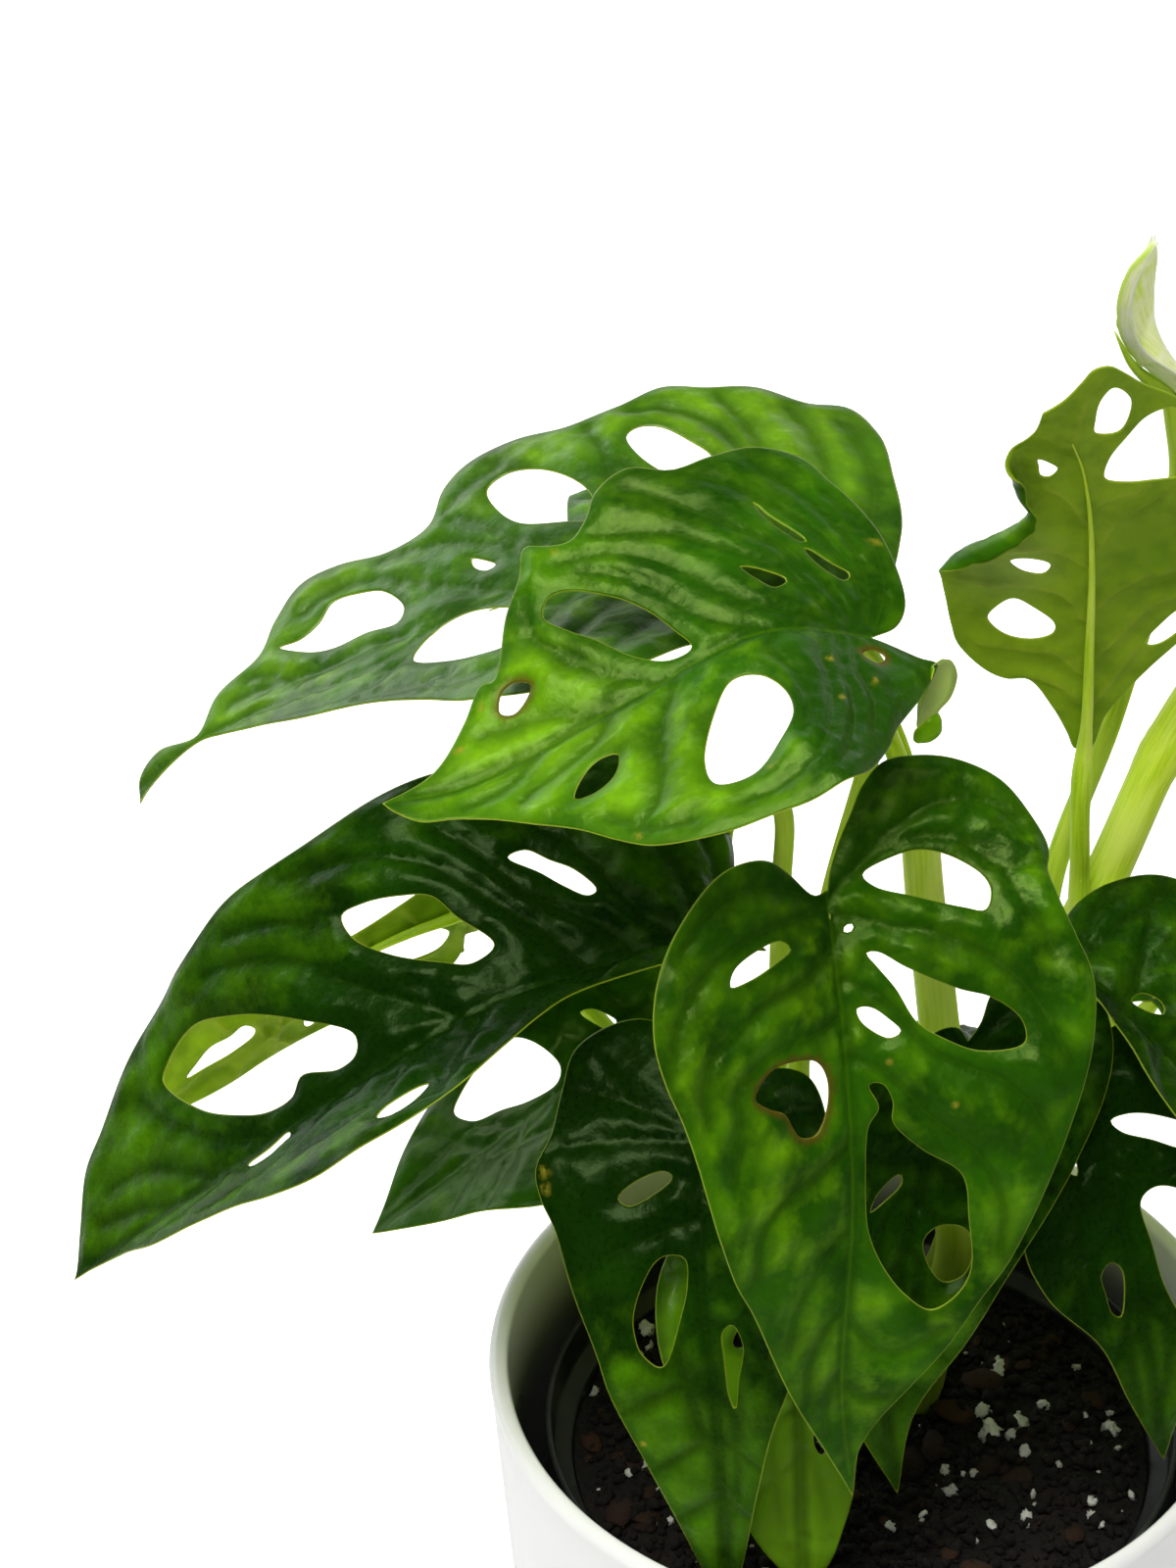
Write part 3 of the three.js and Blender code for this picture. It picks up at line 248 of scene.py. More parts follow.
LEAVES["low_left"] = {
    "rib": [[-24, 20, 217], [-34, 17, 216], [-50, 8, 211], [-69, 0, 199], [-101, -6, 173]],
    "face": [0, 0, 1],
    "fold": 8,
    "curl": -8,
    "right": [[-6, 6], [-4, 16], [11, 20], [24, 24], [38, 27], [52, 28], [64, 23], [72, 15], [80, 5]],
    "left": [[-6, 6], [0, 17], [18, 23], [30, 27], [46, 26], [60, 17], [75, 7]],
    "holes": [[[59, 15], [56, 18], [50, 19.5], [42, 19], [36, 16.5], [33, 11], [32.5, 5], [35, 2.4],
         [42, 3.4], [48, 6], [55, 8.5]], [[22.5, 12], [20, 11], [17.5, 6], [19.5, 5], [21.5, 8.5]],
        [18, -13, 12, 5, -40]],
    "rolls": [[1, 20, 24, [[0, 6]], 7]],
    "quilt": 0.9,
    "glow": [[66, 2, 22, 0.05], [46, 4, 40, -0.28]],
    "petiole": [[-8, 6, 134], [-18, 13, 168], [-27, 16, 200], [-32, 17, 212]],
}
LEAVES["rim_left"] = {
    "rib": [[-32, -20, 228], [-34, -32, 219], [-36, -48, 200], [-33, -58, 179], [-29, -61, 120]],
    "face": [-0.3, -0.9, 0.2],
    "fold": 10,
    "curl": -10,
    "right": [[-6, 5], [-18, 8], [-23, 14], [-22, 21], [-16, 29], [-8, 30.5], [2, 31], [9, 33], [14, 31.5],
        [19, 28.5], [29, 25.5], [40, 22.5], [48, 21], [57, 18.5], [67, 15], [87, 8], [97, 4.5]],
    "left": [[-6, 4], [-14, 8], [-14, 18], [-4, 24], [8, 26], [24, 25], [39, 20], [55, 12], [70, 8],
        [90, 4]],
    "holes": [[[12.5, 16.5], [9, 13.5], [6.5, 8], [7.5, 6.5], [12, 11], [13.7, 14.5]],
        [[33, 14], [27.5, 11.5], [22.5, 7.5], [22.5, 3], [27.5, 2.6], [35.5, 5.5], [43.5, 10], [40, 13.5],
         [36, 14.2]], [[37, -3.5], [35.5, -6], [39.5, -7.5], [46, -5.5], [52.5, -4], [50, -3], [41.5, -3]],
        [14, -13, 15, 6, -50]],
    "quilt": 0.9,
    "vein_gap": 15.0,
    "glow": [[66, 10, 15, 0.55], [86, 0, 12, 0.9], [50, 14, 9, 0.5], [62, -6, 10, 0.5], [0, 14, 26, -0.6]],
    "spots": [[9, 31, 1.2], [12, 30.5, 1.0], [62, 15, 0.8]],
    "petiole": [[-10, 4, 148], [-19, -5, 180], [-27, -18, 209], [-32, -27, 217]],
}
LEAVES["rim_front"] = {
    "rib": [[-20, -16, 196], [-19, -22, 187], [-16, -42, 161], [-15, -53, 136], [-14, -56, 122]],
    "face": [0.1, -0.9, 0.3],
    "fold": 8,
    "curl": -10,
    "right": [[-4, 3], [-7, 9], [-5, 17], [3, 24], [11, 26.8], [23, 26.3], [34, 21], [46, 16], [60, 10],
        [68, 5]],
    "left": [[-4, 4], [3, 10], [17, 14], [32, 13.5], [46, 11.3], [53.5, 10.4], [60.7, 8.3], [68.6, 5.2]],
    "holes": [[37, 6, 4, 2, 16], [42, -4, 5, 2, -12], [18, 8, 10, 4, 50], [20, -8, 10, 4, -50]],
    "vein_gap": 15.0,
    "glow": [[30, 0, 26, 1.5], [58, 0, 20, 2.0]],
    "petiole": [[-7, 5, 132], [-11, -8, 158], [-17, -17, 180]],
}
LEAVES["behind_front"] = {
    "rib": [[18, -5, 235], [16, -14, 227], [9, -27, 213], [3, -40, 192], [1, -48, 165], [4, -50, 143]],
    "face": [0.2, -0.9, 0.3],
    "fold": 10,
    "curl": -10,
    "right": [[-4, 2.5], [-3, 6], [1, 10], [8, 15], [16, 20], [30, 21], [46, 16], [61, 12], [78, 6]],
    "left": [[-6, 2], [-13, 4], [-18, 12], [-16, 24], [-6, 29], [12, 29], [27, 26], [44, 21], [60, 15],
        [76, 6]],
    "holes": [[[38, -3.5], [34.5, -6], [34, -11], [38, -13.5], [44, -12.5], [46, -9], [43, -5.5]],
        [[34.5, 9], [31, 8.5], [26.5, 5], [28, 4], [32.5, 7]], [8, -14, 16, 5, -55]],
    "glow": [[84, 0, 16, 1.3], [60, -14, 9, 0.8]],
    "petiole": [[17, 9, 172], [18, 3, 200], [17, -8, 221]],
}
LEAVES["dark_right"] = {
    "rib": [[30, 7, 238], [38, 0, 237], [57, -12, 223], [78, -20, 200], [102, -25, 163]],
    "face": [0.1, -0.1, 1],
    "fold": 18,
    "curl": -8,
    "right": [[-4, 3], [2, 3.5], [8, 4], [13, 6], [18, 8], [24, 11.5], [32, 15], [42, 18.5], [54, 20],
        [70, 15], [88, 5]],
    "left": [[-5, 3], [-9, 9], [-8, 19], [0, 28], [11, 32], [29, 32], [48, 29], [68, 20], [88, 7]],
    "holes": [[[12.5, -2.7], [13, -5.5], [17, -7.2], [19, -6], [17, -4]], [36, -14, 20, 8, -45],
        [58, -11, 16, 6, -38], [44, 8, 13, 5, 40]],
    "petiole": [[33, 28, 188], [34, 13, 214], [37, 5, 231]],
}
LEAVES["rim_right"] = {
    "rib": [[39, 1, 225], [41, -5, 217], [47, -19, 195], [54, -31, 164], [59, -33, 136]],
    "face": [0.3, -0.9, 0.25],
    "fold": 10,
    "curl": -10,
    "right": [[-5, 4], [-3, 9], [6, 12], [18, 17], [31, 22], [43, 19], [56, 10], [70, 6], [80, 3]],
    "left": [[-5, 4], [-6, 13], [0, 21], [13, 26], [29, 25], [47, 20], [65, 13], [78, 5]],
    "holes": [[[12.5, -2], [12, -6], [14, -12], [18, -17.5], [21.5, -16], [18, -9], [15, -3.5]],
        [[29.5, -4.5], [27.5, -8], [30, -13.5], [36, -16], [46, -15.5], [54, -12], [56, -9], [48.5, -6],
         [39, -5]], [[42, 7], [40, 4.5], [42, 2.4], [47, 2.7], [51.5, 4.5], [50, 6.2], [45.5, 6.8]],
        [[21, 7.8], [19.5, 9.8], [14, 14], [9, 15], [8, 12], [13, 10], [18.5, 7.3]]],
    "glow": [[16, 0, 30, -0.45], [72, 0, 15, 0.6]],
    "petiole": [[30, 33, 170], [36, 14, 198], [41, 0, 214]],
}
LEAVES["raised"] = {
    "rib": [[38, 26, 263], [39, 22, 275], [37.7, 14.5, 305], [36.2, 8, 328], [33.4, 0, 348], [29.5, -7, 362],
        [23.2, -13, 371.6]],
    "face": [0, 0.95, 0.3],
    "fold": 8,
    "curl": -10,
    "right": [[-2, 1.5], [3, 3.5], [10, 6.5], [18, 11.5], [17.8, 15.5], [20, 19.5], [27, 24.8], [33, 26.2],
        [41, 27.3], [46, 28], [52, 28.5], [57, 25.5], [62.5, 18.5], [67, 15], [71, 14], [76, 15.5],
        [84.5, 16], [92.5, 13], [100.5, 4]],
    "left": [[-2, 1.5], [7.5, 3.7], [15.5, 8.5], [20, 12], [30, 21], [44, 28], [64, 29.5], [82, 27],
        [94, 20.5], [99, 17.5], [105, 16.7], [110, 15.5], [111, 13], [109, 9.5], [106.5, 4.5]],
    "holes": [[[52, 15.2], [53, 12], [51.7, 7.7], [48.7, 9], [49.2, 13]],
        [[35, 19.3], [38.7, 17.5], [41, 14.5], [38.5, 10.5], [34.5, 6.7], [31.5, 7], [29.5, 11], [30.5, 16]],
        [[27, -10.8], [32, -13.8], [36.5, -18], [35, -20.5], [28.5, -17], [26, -13]],
        [[78, -3.7], [84, -5], [88.5, -8.5], [92.5, -14], [92, -20], [83, -20.3], [74.7, -18], [74.7, -11.5],
         [75.7, -7]],
        [[93, -4.5], [97, -6.3], [101, -9.5], [103, -13], [98, -13.7], [94.5, -11.7], [91.2, -8]],
        [[87.5, 7.5], [85.5, 5.5], [83.5, 4.5], [80.5, 6.5], [81, 7.8], [84.5, 7.8]]],
    "rolls": [[1, 71, 27, [[44, 26], [48, 25.6], [52, 23.8], [56.5, 20.6], [60, 16], [62.5, 12.8], [67, 9.4],
        [71, 8.6], [76, 10.3], [84.5, 10.3], [92.5, 8.2], [98, 3.5]], -30]],
    "veins": [[[56, -1], [63, -4], [68, -10], [71, -17], [72, -26]],
        [[40, -1], [45.5, -6.5], [48.5, -15], [51, -26]], [[25.5, -1], [32, -6.5], [39, -12], [43, -24]],
        [[52, 1], [56, 6], [56, 13], [54, 19], [49, 24]], [[20.5, 1], [26, 6], [27, 14], [28, 21]],
        [[65, 1], [73, 3.5], [77.5, 7.5]], [[36.5, 1], [43, 5], [45, 12], [45, 20], [47, 25]],
        [[94, -1], [99, -4], [104, -8], [108, -13]], [[12, 1], [17, 5], [19.5, 12]],
        [[12, -1], [19, -5], [26, -8.5]], [[70, -1], [72, -4], [72.5, -9]], [[92, 1], [98, 3.5]]],
    "quilt": 0.7,
    "glow": [[52, 14, 14, 0.3], [50, -10, 18, -0.25]],
    "petiole": [[36, 27, 200], [40, 22, 223], [40, 21, 242], [39, 20, 262]],
}
LEAVES["young"] = {
    "rib": [[58, 27, 347], [52, 25, 353], [46, 23, 359], [41.3, 21, 365.5], [39.3, 19, 374], [40.5, 17, 383],
        [45, 14.5, 390.5]],
    "face": [0.9, 0.1, 0.45],
    "fold": 52,
    "curl": 14,
    "right": [[-6, 3], [0, 5], [10, 8], [19, 12], [28, 14], [35, 12.5], [41, 7]],
    "left": [[-6, 4], [0, 6.5], [8, 7], [15, 5.5], [21, 4.5], [30, 3.5], [38, 2.5]],
    "holes": [],
    "keel": 0.5,
    "quilt": 0.5,
    "wave": 0.5,
    "petiole": [[34, 29, 200], [36, 31, 236], [46, 31, 277], [54, 28, 332]],
}


USUAL_MARGIN = [[-0.04, 0.1], [-0.1, 0.36], [-0.07, 0.68], [0.06, 0.93], [0.25, 1], [0.45, 0.9], [0.62, 0.66],
                [0.78, 0.36], [0.9, 0.13]]
USUAL_HOLES = [[0.14, 0.48, 0.5, 0.18, 58], [0.33, 0.5, 0.62, 0.24, 50], [0.52, 0.42, 0.5, 0.2, 42]]


def usual_leaf(length, half_width):
    """A leaf of the usual outline: heart-shaped base, widest a quarter of the way along, long tip."""
    margin = [[along * length, out * half_width] for along, out in USUAL_MARGIN]
    holes = []
    for along, out, long, wide, turn in USUAL_HOLES:
        for side, shift, share in ((1, 0, 1), (-1, 0.03, 0.9)):
            holes.append([(along + shift) * length, side * out * half_width, share * long * half_width,
                          wide * half_width, side * turn])
    return {"right": margin, "left": margin, "holes": holes, "fold": 12, "curl": -14}


LEAVES["far_left"] = {
    **usual_leaf(76, 25),
    "right": [[-3, 2.5], [-7.6, 9], [-5, 17], [5, 22.5], [19, 23], [34, 20.5], [47, 17], [56, 14],
        [65, 10.8], [73, 7], [79, 3]],
    "left": [[-4, 2.5], [-7, 6], [-4, 9.5], [4, 10], [12, 7], [20, 5], [28, 4.5], [36, 6], [45, 9], [55, 11],
        [64, 9], [73, 4.5]],
    "holes": [[[24, 6], [20, 3.8], [14, 3.2], [8, 5], [5, 10], [8, 14], [16, 13.5], [23, 11]],
        [39.5, 10.5, 12.5, 5, 42],
        [[69.5, 0], [65.5, -1], [61, -1.7], [56.8, -0.6], [53, -0.5], [52, 2.3], [53.3, 4], [59.3, 3.7],
         [65.5, 1.5]]],
    "keel": 0.6,
    "rib": [[-74, 52, 212], [-82, 50, 213.5], [-106, 43, 206.5], [-131, 34, 191.5], [-149, 27, 176]],
    "face": [0.1, 1, 0.35],
    "petiole": [[-7, 6, 118], [-20, 19, 146], [-48, 38, 182], [-73, 50, 206]],
}
LEAVES["right_high"] = {
    **usual_leaf(104, 37),
    "rib": [[80, 38, 297], [88, 36, 300], [118, 28, 306], [148, 16, 292], [172, 4, 262]],
    "face": [0.2, -0.2, 1],
    "petiole": [[70, 37, 289], [79, 39, 297]],
}
LEAVES["right_low"] = {
    **usual_leaf(96, 31),
    "rib": [[91, 20, 180], [99, 16, 180], [124, 12, 168], [148, 6, 140], [162, 0, 112]],
    "face": [0.3, -0.2, 1],
    "petiole": [[34, 30, 184], [54, 32, 190], [90, 20, 182]],
}
LEAVES["right_back"] = {
    **usual_leaf(92, 31),
    "rib": [[90, 58, 268], [95, 66, 270], [106, 92, 262], [118, 118, 240], [124, 134, 214]],
    "face": [0.2, 0.2, 1],
    "petiole": [[62, 36, 275], [80, 48, 278], [91, 60, 270]],
}
LEAVES["back_low"] = {
    **usual_leaf(78, 27),
    "left": [[-3, 1.7], [-6, 5], [-4, 9], [5, 12], [20, 13], [36, 12], [50, 9], [62, 5], [72, 2.2]],
    "rib": [[16, 54, 158], [19, 62, 160], [29, 84, 152], [39, 103, 126], [44, 113, 98]],
    "face": [0.1, 0.6, 1],
    "petiole": [[24, 41, 138], [20, 50, 150]],
}
LEAVES["back_high"] = {
    **usual_leaf(108, 30),
    "rib": [[-28, 52, 290], [-30, 60, 291], [-32, 90, 286], [-33, 120, 264], [-34, 145, 232]],
    "face": [-0.1, 0.2, 1],
    "petiole": [[16, 9, 178], [14, 16, 205], [9, 21, 244], [3, 31, 270], [-12, 47, 288]],
}
LEAVES["back_right"] = {
    **usual_leaf(84, 24),
    "rib": [[58, 48, 184], [62, 55, 186], [72, 80, 182], [86, 108, 162], [95, 125, 136]],
    "face": [0.2, 0.2, 1],
    "petiole": [[30, 33, 180], [44, 42, 186], [58, 50, 184]],
}


# ---- Curves ----
SPAN = 40           # points of a spline between two of its knots
PART = 1500         # points that are worked on at a time, so that the arrays stay small
TINY = 1e-6


def unit(vectors):
    return vectors / np.maximum(np.linalg.norm(vectors, axis=-1, keepdims=True), 1e-12)


def spline(points, closed=False, per_span=SPAN):
    """A centripetal Catmull-Rom curve through the points, as close points."""
    knots = np.asarray(points, float)
    count = len(knots)
    found = []
    for i in range(count if closed else count - 1):
        start, end = knots[i], knots[(i + 1) % count]
        before = knots[i - 1] if closed or i > 0 else 2 * start - end
        after = knots[(i + 2) % count] if closed or i + 2 < count else 2 * end - start
        pairs = ((before, start), (start, end), (end, after))
        t0, t1, t2, t3 = np.r_[0, np.cumsum([math.sqrt(max(np.linalg.norm(b - a), TINY)) for a, b in pairs])]
        t = (t1 + (t2 - t1) * np.arange(per_span) / per_span)[:, None]

        def blend(first, second, low, high):
            return (high - t) / (high - low) * first + (t - low) / (high - low) * second

        a1, a2, a3 = blend(before, start, t0, t1), blend(start, end, t1, t2), blend(end, after, t2, t3)
        found.append(blend(blend(a1, a2, t0, t2), blend(a2, a3, t1, t3), t1, t2))
    if not closed:
        found.append(knots[-1:])
    return np.concatenate(found)


def closed_line(ring):
    return np.concatenate([ring, ring[:1]])


def lengths_along(points):
    return np.r_[0, np.cumsum(np.linalg.norm(np.diff(points, axis=0), axis=1))]


def even_points(points, step, closed=False):
    """The same line with its points about one step apart."""
    if closed:
        points = closed_line(points)
    places = lengths_along(points)
    wanted = np.linspace(0, places[-1], max(3, round(places[-1] / step)) + 1)
    if closed:
        wanted = wanted[:-1]
    return np.stack([np.interp(wanted, places, values) for values in points.T], -1)


def smoothstep(low, high, values):
    t = np.clip((np.asarray(values, float) - low) / (high - low), 0, 1)
    return t * t * (3 - 2 * t)


def hump(values, width):
    """1 at zero, fading to both sides within a few widths."""
    return np.exp(-(values / width) ** 2)


def in_parts(function):
    """The function run over its points a part at a time."""
    def run(points, others):
        return np.concatenate([function(points[i:i + PART], others) for i in range(0, len(points), PART)])
    return run


@in_parts
def distance_to_points(points, others):
    return np.sqrt(((points[:, None] - others) ** 2).sum(-1)).min(1)


@in_parts
def distance_to_lines(points, lines):
    """Distance of each 2D point to the nearest of the polylines."""
    nearest = np.full(len(points), 1e9)
    for line in lines:
        start, edge = line[:-1], np.diff(line, axis=0)
        offset = points[:, None] - start
        part = np.clip((offset * edge).sum(-1) / np.maximum((edge ** 2).sum(-1), 1e-12), 0, 1)
        away = offset - part[..., None] * edge
        nearest = np.minimum(nearest, np.sqrt((away ** 2).sum(-1)).min(1))
    return nearest


@in_parts
def inside(points, ring):
    """Whether each 2D point lies inside a closed ring."""
    x, y = points[:, :1], points[:, 1:]
    (ax, ay), (bx, by) = ring.T, np.roll(ring, -1, axis=0).T
    rise = np.where(np.abs(by - ay) < 1e-9, 1e-9, by - ay)
    crossed = ((ay > y) != (by > y)) & (x < (bx - ax) * (y - ay) / rise + ax)
    return crossed.sum(1) % 2 == 1


# ---- The blade's surface: a place (along, out) on the leaf to a place in space ----
CURL_REACH = 45.0
VALLEY = 2.0            # how wide the fold beside the midrib is rounded
NOTCH = 2.0             # how far behind the junction the blade begins
TANGENT_SPAN = 3.0
NORMAL_STEP = 0.5
ROLL_FULL = 0.45        # the share of a roll's half length over which it is fully rolled
ROLL_BLEND = 0.35       # the strength at which a roll takes over from the plain surface
ROLL_LEAST = 0.02


class LeafSurface:
    def __init__(self, leaf):
        self.points = spline(leaf["rib"])
        places = lengths_along(self.points)
        self.places = places - places[SPAN]
        self.start, self.length = self.places[0], self.places[-1]
        self.upper = unit(np.array(leaf["face"], float))
        self.rise = math.radians(leaf["fold"])
        self.bend = math.radians(leaf["curl"]) / CURL_REACH
        self.rolls = leaf.get("rolls", [])

    def rib_at(self, along):
        held = np.clip(along, self.start, self.length)
        return np.stack([np.interp(held, self.places, values) for values in self.points.T], -1)

    def plain(self, along, out):
        """The surface without its rolled margins."""
        along, out = np.asarray(along, float), np.asarray(out, float)
        middle = np.clip(along, self.start + TANGENT_SPAN, self.length - TANGENT_SPAN)
        tangent = unit(self.rib_at(middle + TANGENT_SPAN) - self.rib_at(middle - TANGENT_SPAN))
        normal = unit(self.upper - (tangent @ self.upper)[..., None] * tangent)
        across = np.cross(tangent, normal)
        beyond = along - np.clip(along, self.start, self.length)
        far = np.abs(out)
        soft = np.hypot(far, VALLEY) - VALLEY
        sideways = (np.sin(self.rise + self.bend * far) - math.sin(self.rise)) / self.bend
        height = (math.cos(self.rise) - np.cos(self.rise + self.bend * soft)) / self.bend
        return (self.rib_at(along) + beyond[..., None] * tangent
                + (np.sign(out) * sideways)[..., None] * across + height[..., None] * normal)

    def at(self, along, out):
        """The surface with its rolled margins."""
        found = self.plain(along, out)
        for side, middle, half, line, turn in self.rolls:
            start = np.interp(along, *np.array(line, float).T)
            past = side * out - start
            share = smoothstep(1, ROLL_FULL, np.abs(along - middle) / half)
            rolled = (past > 0) & (share > 0)
            if not rolled.any():
                continue
            a, q, edge = along[rolled], past[rolled], side * start[rolled]
            near, far = self.plain(a, edge - side * NORMAL_STEP), self.plain(a, edge + side * NORMAL_STEP)
            rate = np.radians(turn) * np.maximum(share[rolled], ROLL_LEAST)
            rolled_up = (self.plain(a, edge) + unit(far - near) * (np.sin(rate * q) / rate)[:, None]
                         + self.normal(a, edge, self.plain) * ((1 - np.cos(rate * q)) / rate)[:, None])
            weight = smoothstep(0, ROLL_BLEND, share[rolled])[:, None]
            found[rolled] = found[rolled] * (1 - weight) + rolled_up * weight
        return found

    def normal(self, along, out, at=None):
        """Where the upper side looks, on the rolled surface or on the one that is given."""
        at = at or self.at
        lengthwise = at(along + NORMAL_STEP, out) - at(along - NORMAL_STEP, out)
        sidewise = at(along, out + NORMAL_STEP) - at(along, out - NORMAL_STEP)
        return unit(np.cross(sidewise, lengthwise))


def margin_ring(leaf, length, step):
    """The outline: up the right side from the notch to the tip, and back down the left side."""
    sides = []
    for key, sign in (("right", 1), ("left", -1)):
        knots = [[-NOTCH, 0], *[[along, sign * out] for along, out in leaf[key]], [length, 0]]
        sides.append(even_points(spline(knots), step))
    return np.concatenate([sides[0], sides[1][-2:0:-1]])


def hole_ring(hole, step):
    if isinstance(hole[0], list):
        return even_points(spline(hole, closed=True), step, closed=True)
    along, out, long, wide, turn = hole
    angle = np.linspace(0, TURN, 120, endpoint=False)
    x, y = long / 2 * np.cos(angle), wide / 2 * np.sin(angle)
    c, s = math.cos(math.radians(turn)), math.sin(math.radians(turn))
    ring = np.stack([along + c * x - s * y, out + s * x + c * y], -1)
    return even_points(ring, step, closed=True)


def on_leaf(points, rings):
    """Whether each point lies within the margin, which is the first ring, and outside every hole."""
    kept = inside(points, rings[0])
    for ring in rings[1:]:
        kept &= ~inside(points, ring)
    return kept


# ---- Veins: curves from the midrib to the margin that keep clear of the holes ----
VEIN_STEP = 1.2
VEIN_GAP = 11.0                                     # usual distance between two veins along the midrib
VEIN_STEPS = 90
VEIN_CLEAR = 4.5                                    # how near a hole a vein turns away from it
VEIN_SWERVE = math.radians(13)
VEIN_ROOT, VEIN_LEAST = 0.2, 0.3                    # how far from the midrib a vein starts, and later stays
VEIN_FAN = ((150, 1.1), (118, 0.75), (90, 0.55))  # heading and bend in degrees, of veins at the junction
VEIN_HEADING, VEIN_HEADING_DROP, VEIN_BEND = 74, 30, 0.42
VEINED = 0.86                                       # the share of the midrib that bears veins
VEIN_SHIFTS = (0, -2.5, 2.5, -4.5, 4.5)     # tried along the midrib, to reach the margin between holes
SHIFT_COST = 1.5
SHORTEST_VEIN = 4


def steered_vein(base, heading, side, bend, rings):
    """One vein in (along, out), turning towards the tip and away from any hole that it nears."""
    place = np.array([base, side * VEIN_ROOT])
    angle = math.radians(heading)
    line = [place]
    for _ in range(VEIN_STEPS):
        angle -= math.radians(bend) * VEIN_STEP
        for ring in rings[1:]:
            gap = distance_to_points(place[None], ring)[0]
            if gap < VEIN_CLEAR:
                away = place - ring.mean(0)
                turn = math.cos(angle) * away[1] - side * math.sin(angle) * away[0]
                angle += side * math.copysign(VEIN_SWERVE * (1 - gap / VEIN_CLEAR), turn)
        place = place + VEIN_STEP * np.array([math.cos(angle), side * math.sin(angle)])
        if side * place[1] < VEIN_LEAST or not on_leaf(place[None], rings)[0]:
            break
        line.append(place)
        if distance_to_points(place[None], rings[0])[0] < VEIN_STEP:
            break
    return np.array(line)


def vein_lines(length, rings, spacing):
    """Secondary veins of both halves: a fan behind the junction, then pairs along the midrib."""
    lines = []
    for side in (1, -1):
        lines += [steered_vein(0.0, heading, side, bend, rings) for heading, bend in VEIN_FAN]
        for k in range(1, int(VEINED * length / spacing)):
            base = k * spacing
            heading = VEIN_HEADING - VEIN_HEADING_DROP * base / length
            tries = []
            for shift in VEIN_SHIFTS:
                line = steered_vein(base + shift, heading, side, VEIN_BEND, rings)
                tries.append((len(line) * VEIN_STEP - SHIFT_COST * abs(shift), line))
            lines.append(max(tries, key=lambda found: found[0])[1])
    return [line for line in lines if len(line) > SHORTEST_VEIN]


# ---- Meshes ----
def linked(thing):
    bpy.context.scene.collection.objects.link(thing)
    return thing


def made_piece(name, points, faces, material, slot, replaced=(), attributes=None):
    """A smooth mesh piece from millimetres, which rides on the one body."""
    mesh = bpy.data.meshes.new(name)
    mesh.from_pydata((np.asarray(points) * MM).tolist(), [], [list(map(int, face)) for face in faces])
    mesh.polygons.foreach_set("use_smooth", [True] * len(mesh.polygons))
    for key, values in (attributes or {}).items():
        field = mesh.attributes.new(key, "FLOAT_VECTOR", "POINT")
        field.data.foreach_set("vector", np.ascontiguousarray(values, np.float32).ravel())
    mesh.materials.append(material)
    mesh.update()
    piece = linked(bpy.data.objects.new(name, mesh))
    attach(piece, "root")
    if replaced:
        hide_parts(*replaced)
    return piece


def band_faces(rows, sides):
    """Four-cornered faces between rings of points that follow each other."""
    i, j = (values.ravel() for values in np.indices((rows - 1, sides)))
    k = (j + 1) % sides
    return np.stack([i * sides + j, i * sides + k, (i + 1) * sides + k, (i + 1) * sides + j], -1)


def fan(pole, first, sides):
    """Triangles from a pole to the ring of points that starts at first."""
    j = np.arange(sides)
    return np.stack([np.full(sides, pole), first + j, first + (j + 1) % sides], -1)


def outward(points, faces):
    """The faces turned so that the closed mesh has a positive volume."""
    corners = np.array([(face[0], j, k) for face in faces for j, k in zip(face[1:-1], face[2:])])
    a, b, c = np.asarray(points)[corners].transpose(1, 0, 2)
    return faces if (a * np.cross(b, c)).sum() > 0 else [list(face)[::-1] for face in faces]


# ---- Blades ----
HALF = 0.22             # half the thickness of the tissue, and at its margin
RIM_HALF = 0.12
INSET = 0.45            # how far inside the margin the full thickness begins
LOBE_POINTS = 9
LOBE_ARCH = 0.9
SWELL, SWELL_SIZE = 0.35, 6.0           # how much the bulges differ, and over what distance
GRAIN, GRAIN_SIZE = 0.13, 2.4           # the same for the small unevenness of the tissue
CREASE, CREASE_WIDTH = 0.36, 0.75       # depth, as a share of the bulge, and width of the groove over a vein
BULGE_WIDTH = 3.2                       # how far from a vein the tissue has risen
WAVE_SIZE = 16.0
RIDGE, RIDGE_WIDTH = 0.34, 0.6          # height and width of a vein under the blade
SCORCH_WIDTH = 1.1


def inset_points(ring, rings, outer):
    """Points just inside the leaf from one of its rings."""
    along = np.roll(ring, -1, axis=0) - np.roll(ring, 1, axis=0)
    normal = unit(np.stack([-along[:, 1], along[:, 0]], -1))
    both = [ring + INSET * normal, ring - INSET * normal]
    moved = (max if outer else min)(both, key=lambda points: inside(points, ring).mean())
    return moved[distance_to_lines(moved, [closed_line(line) for line in rings]) > 0.8 * INSET]


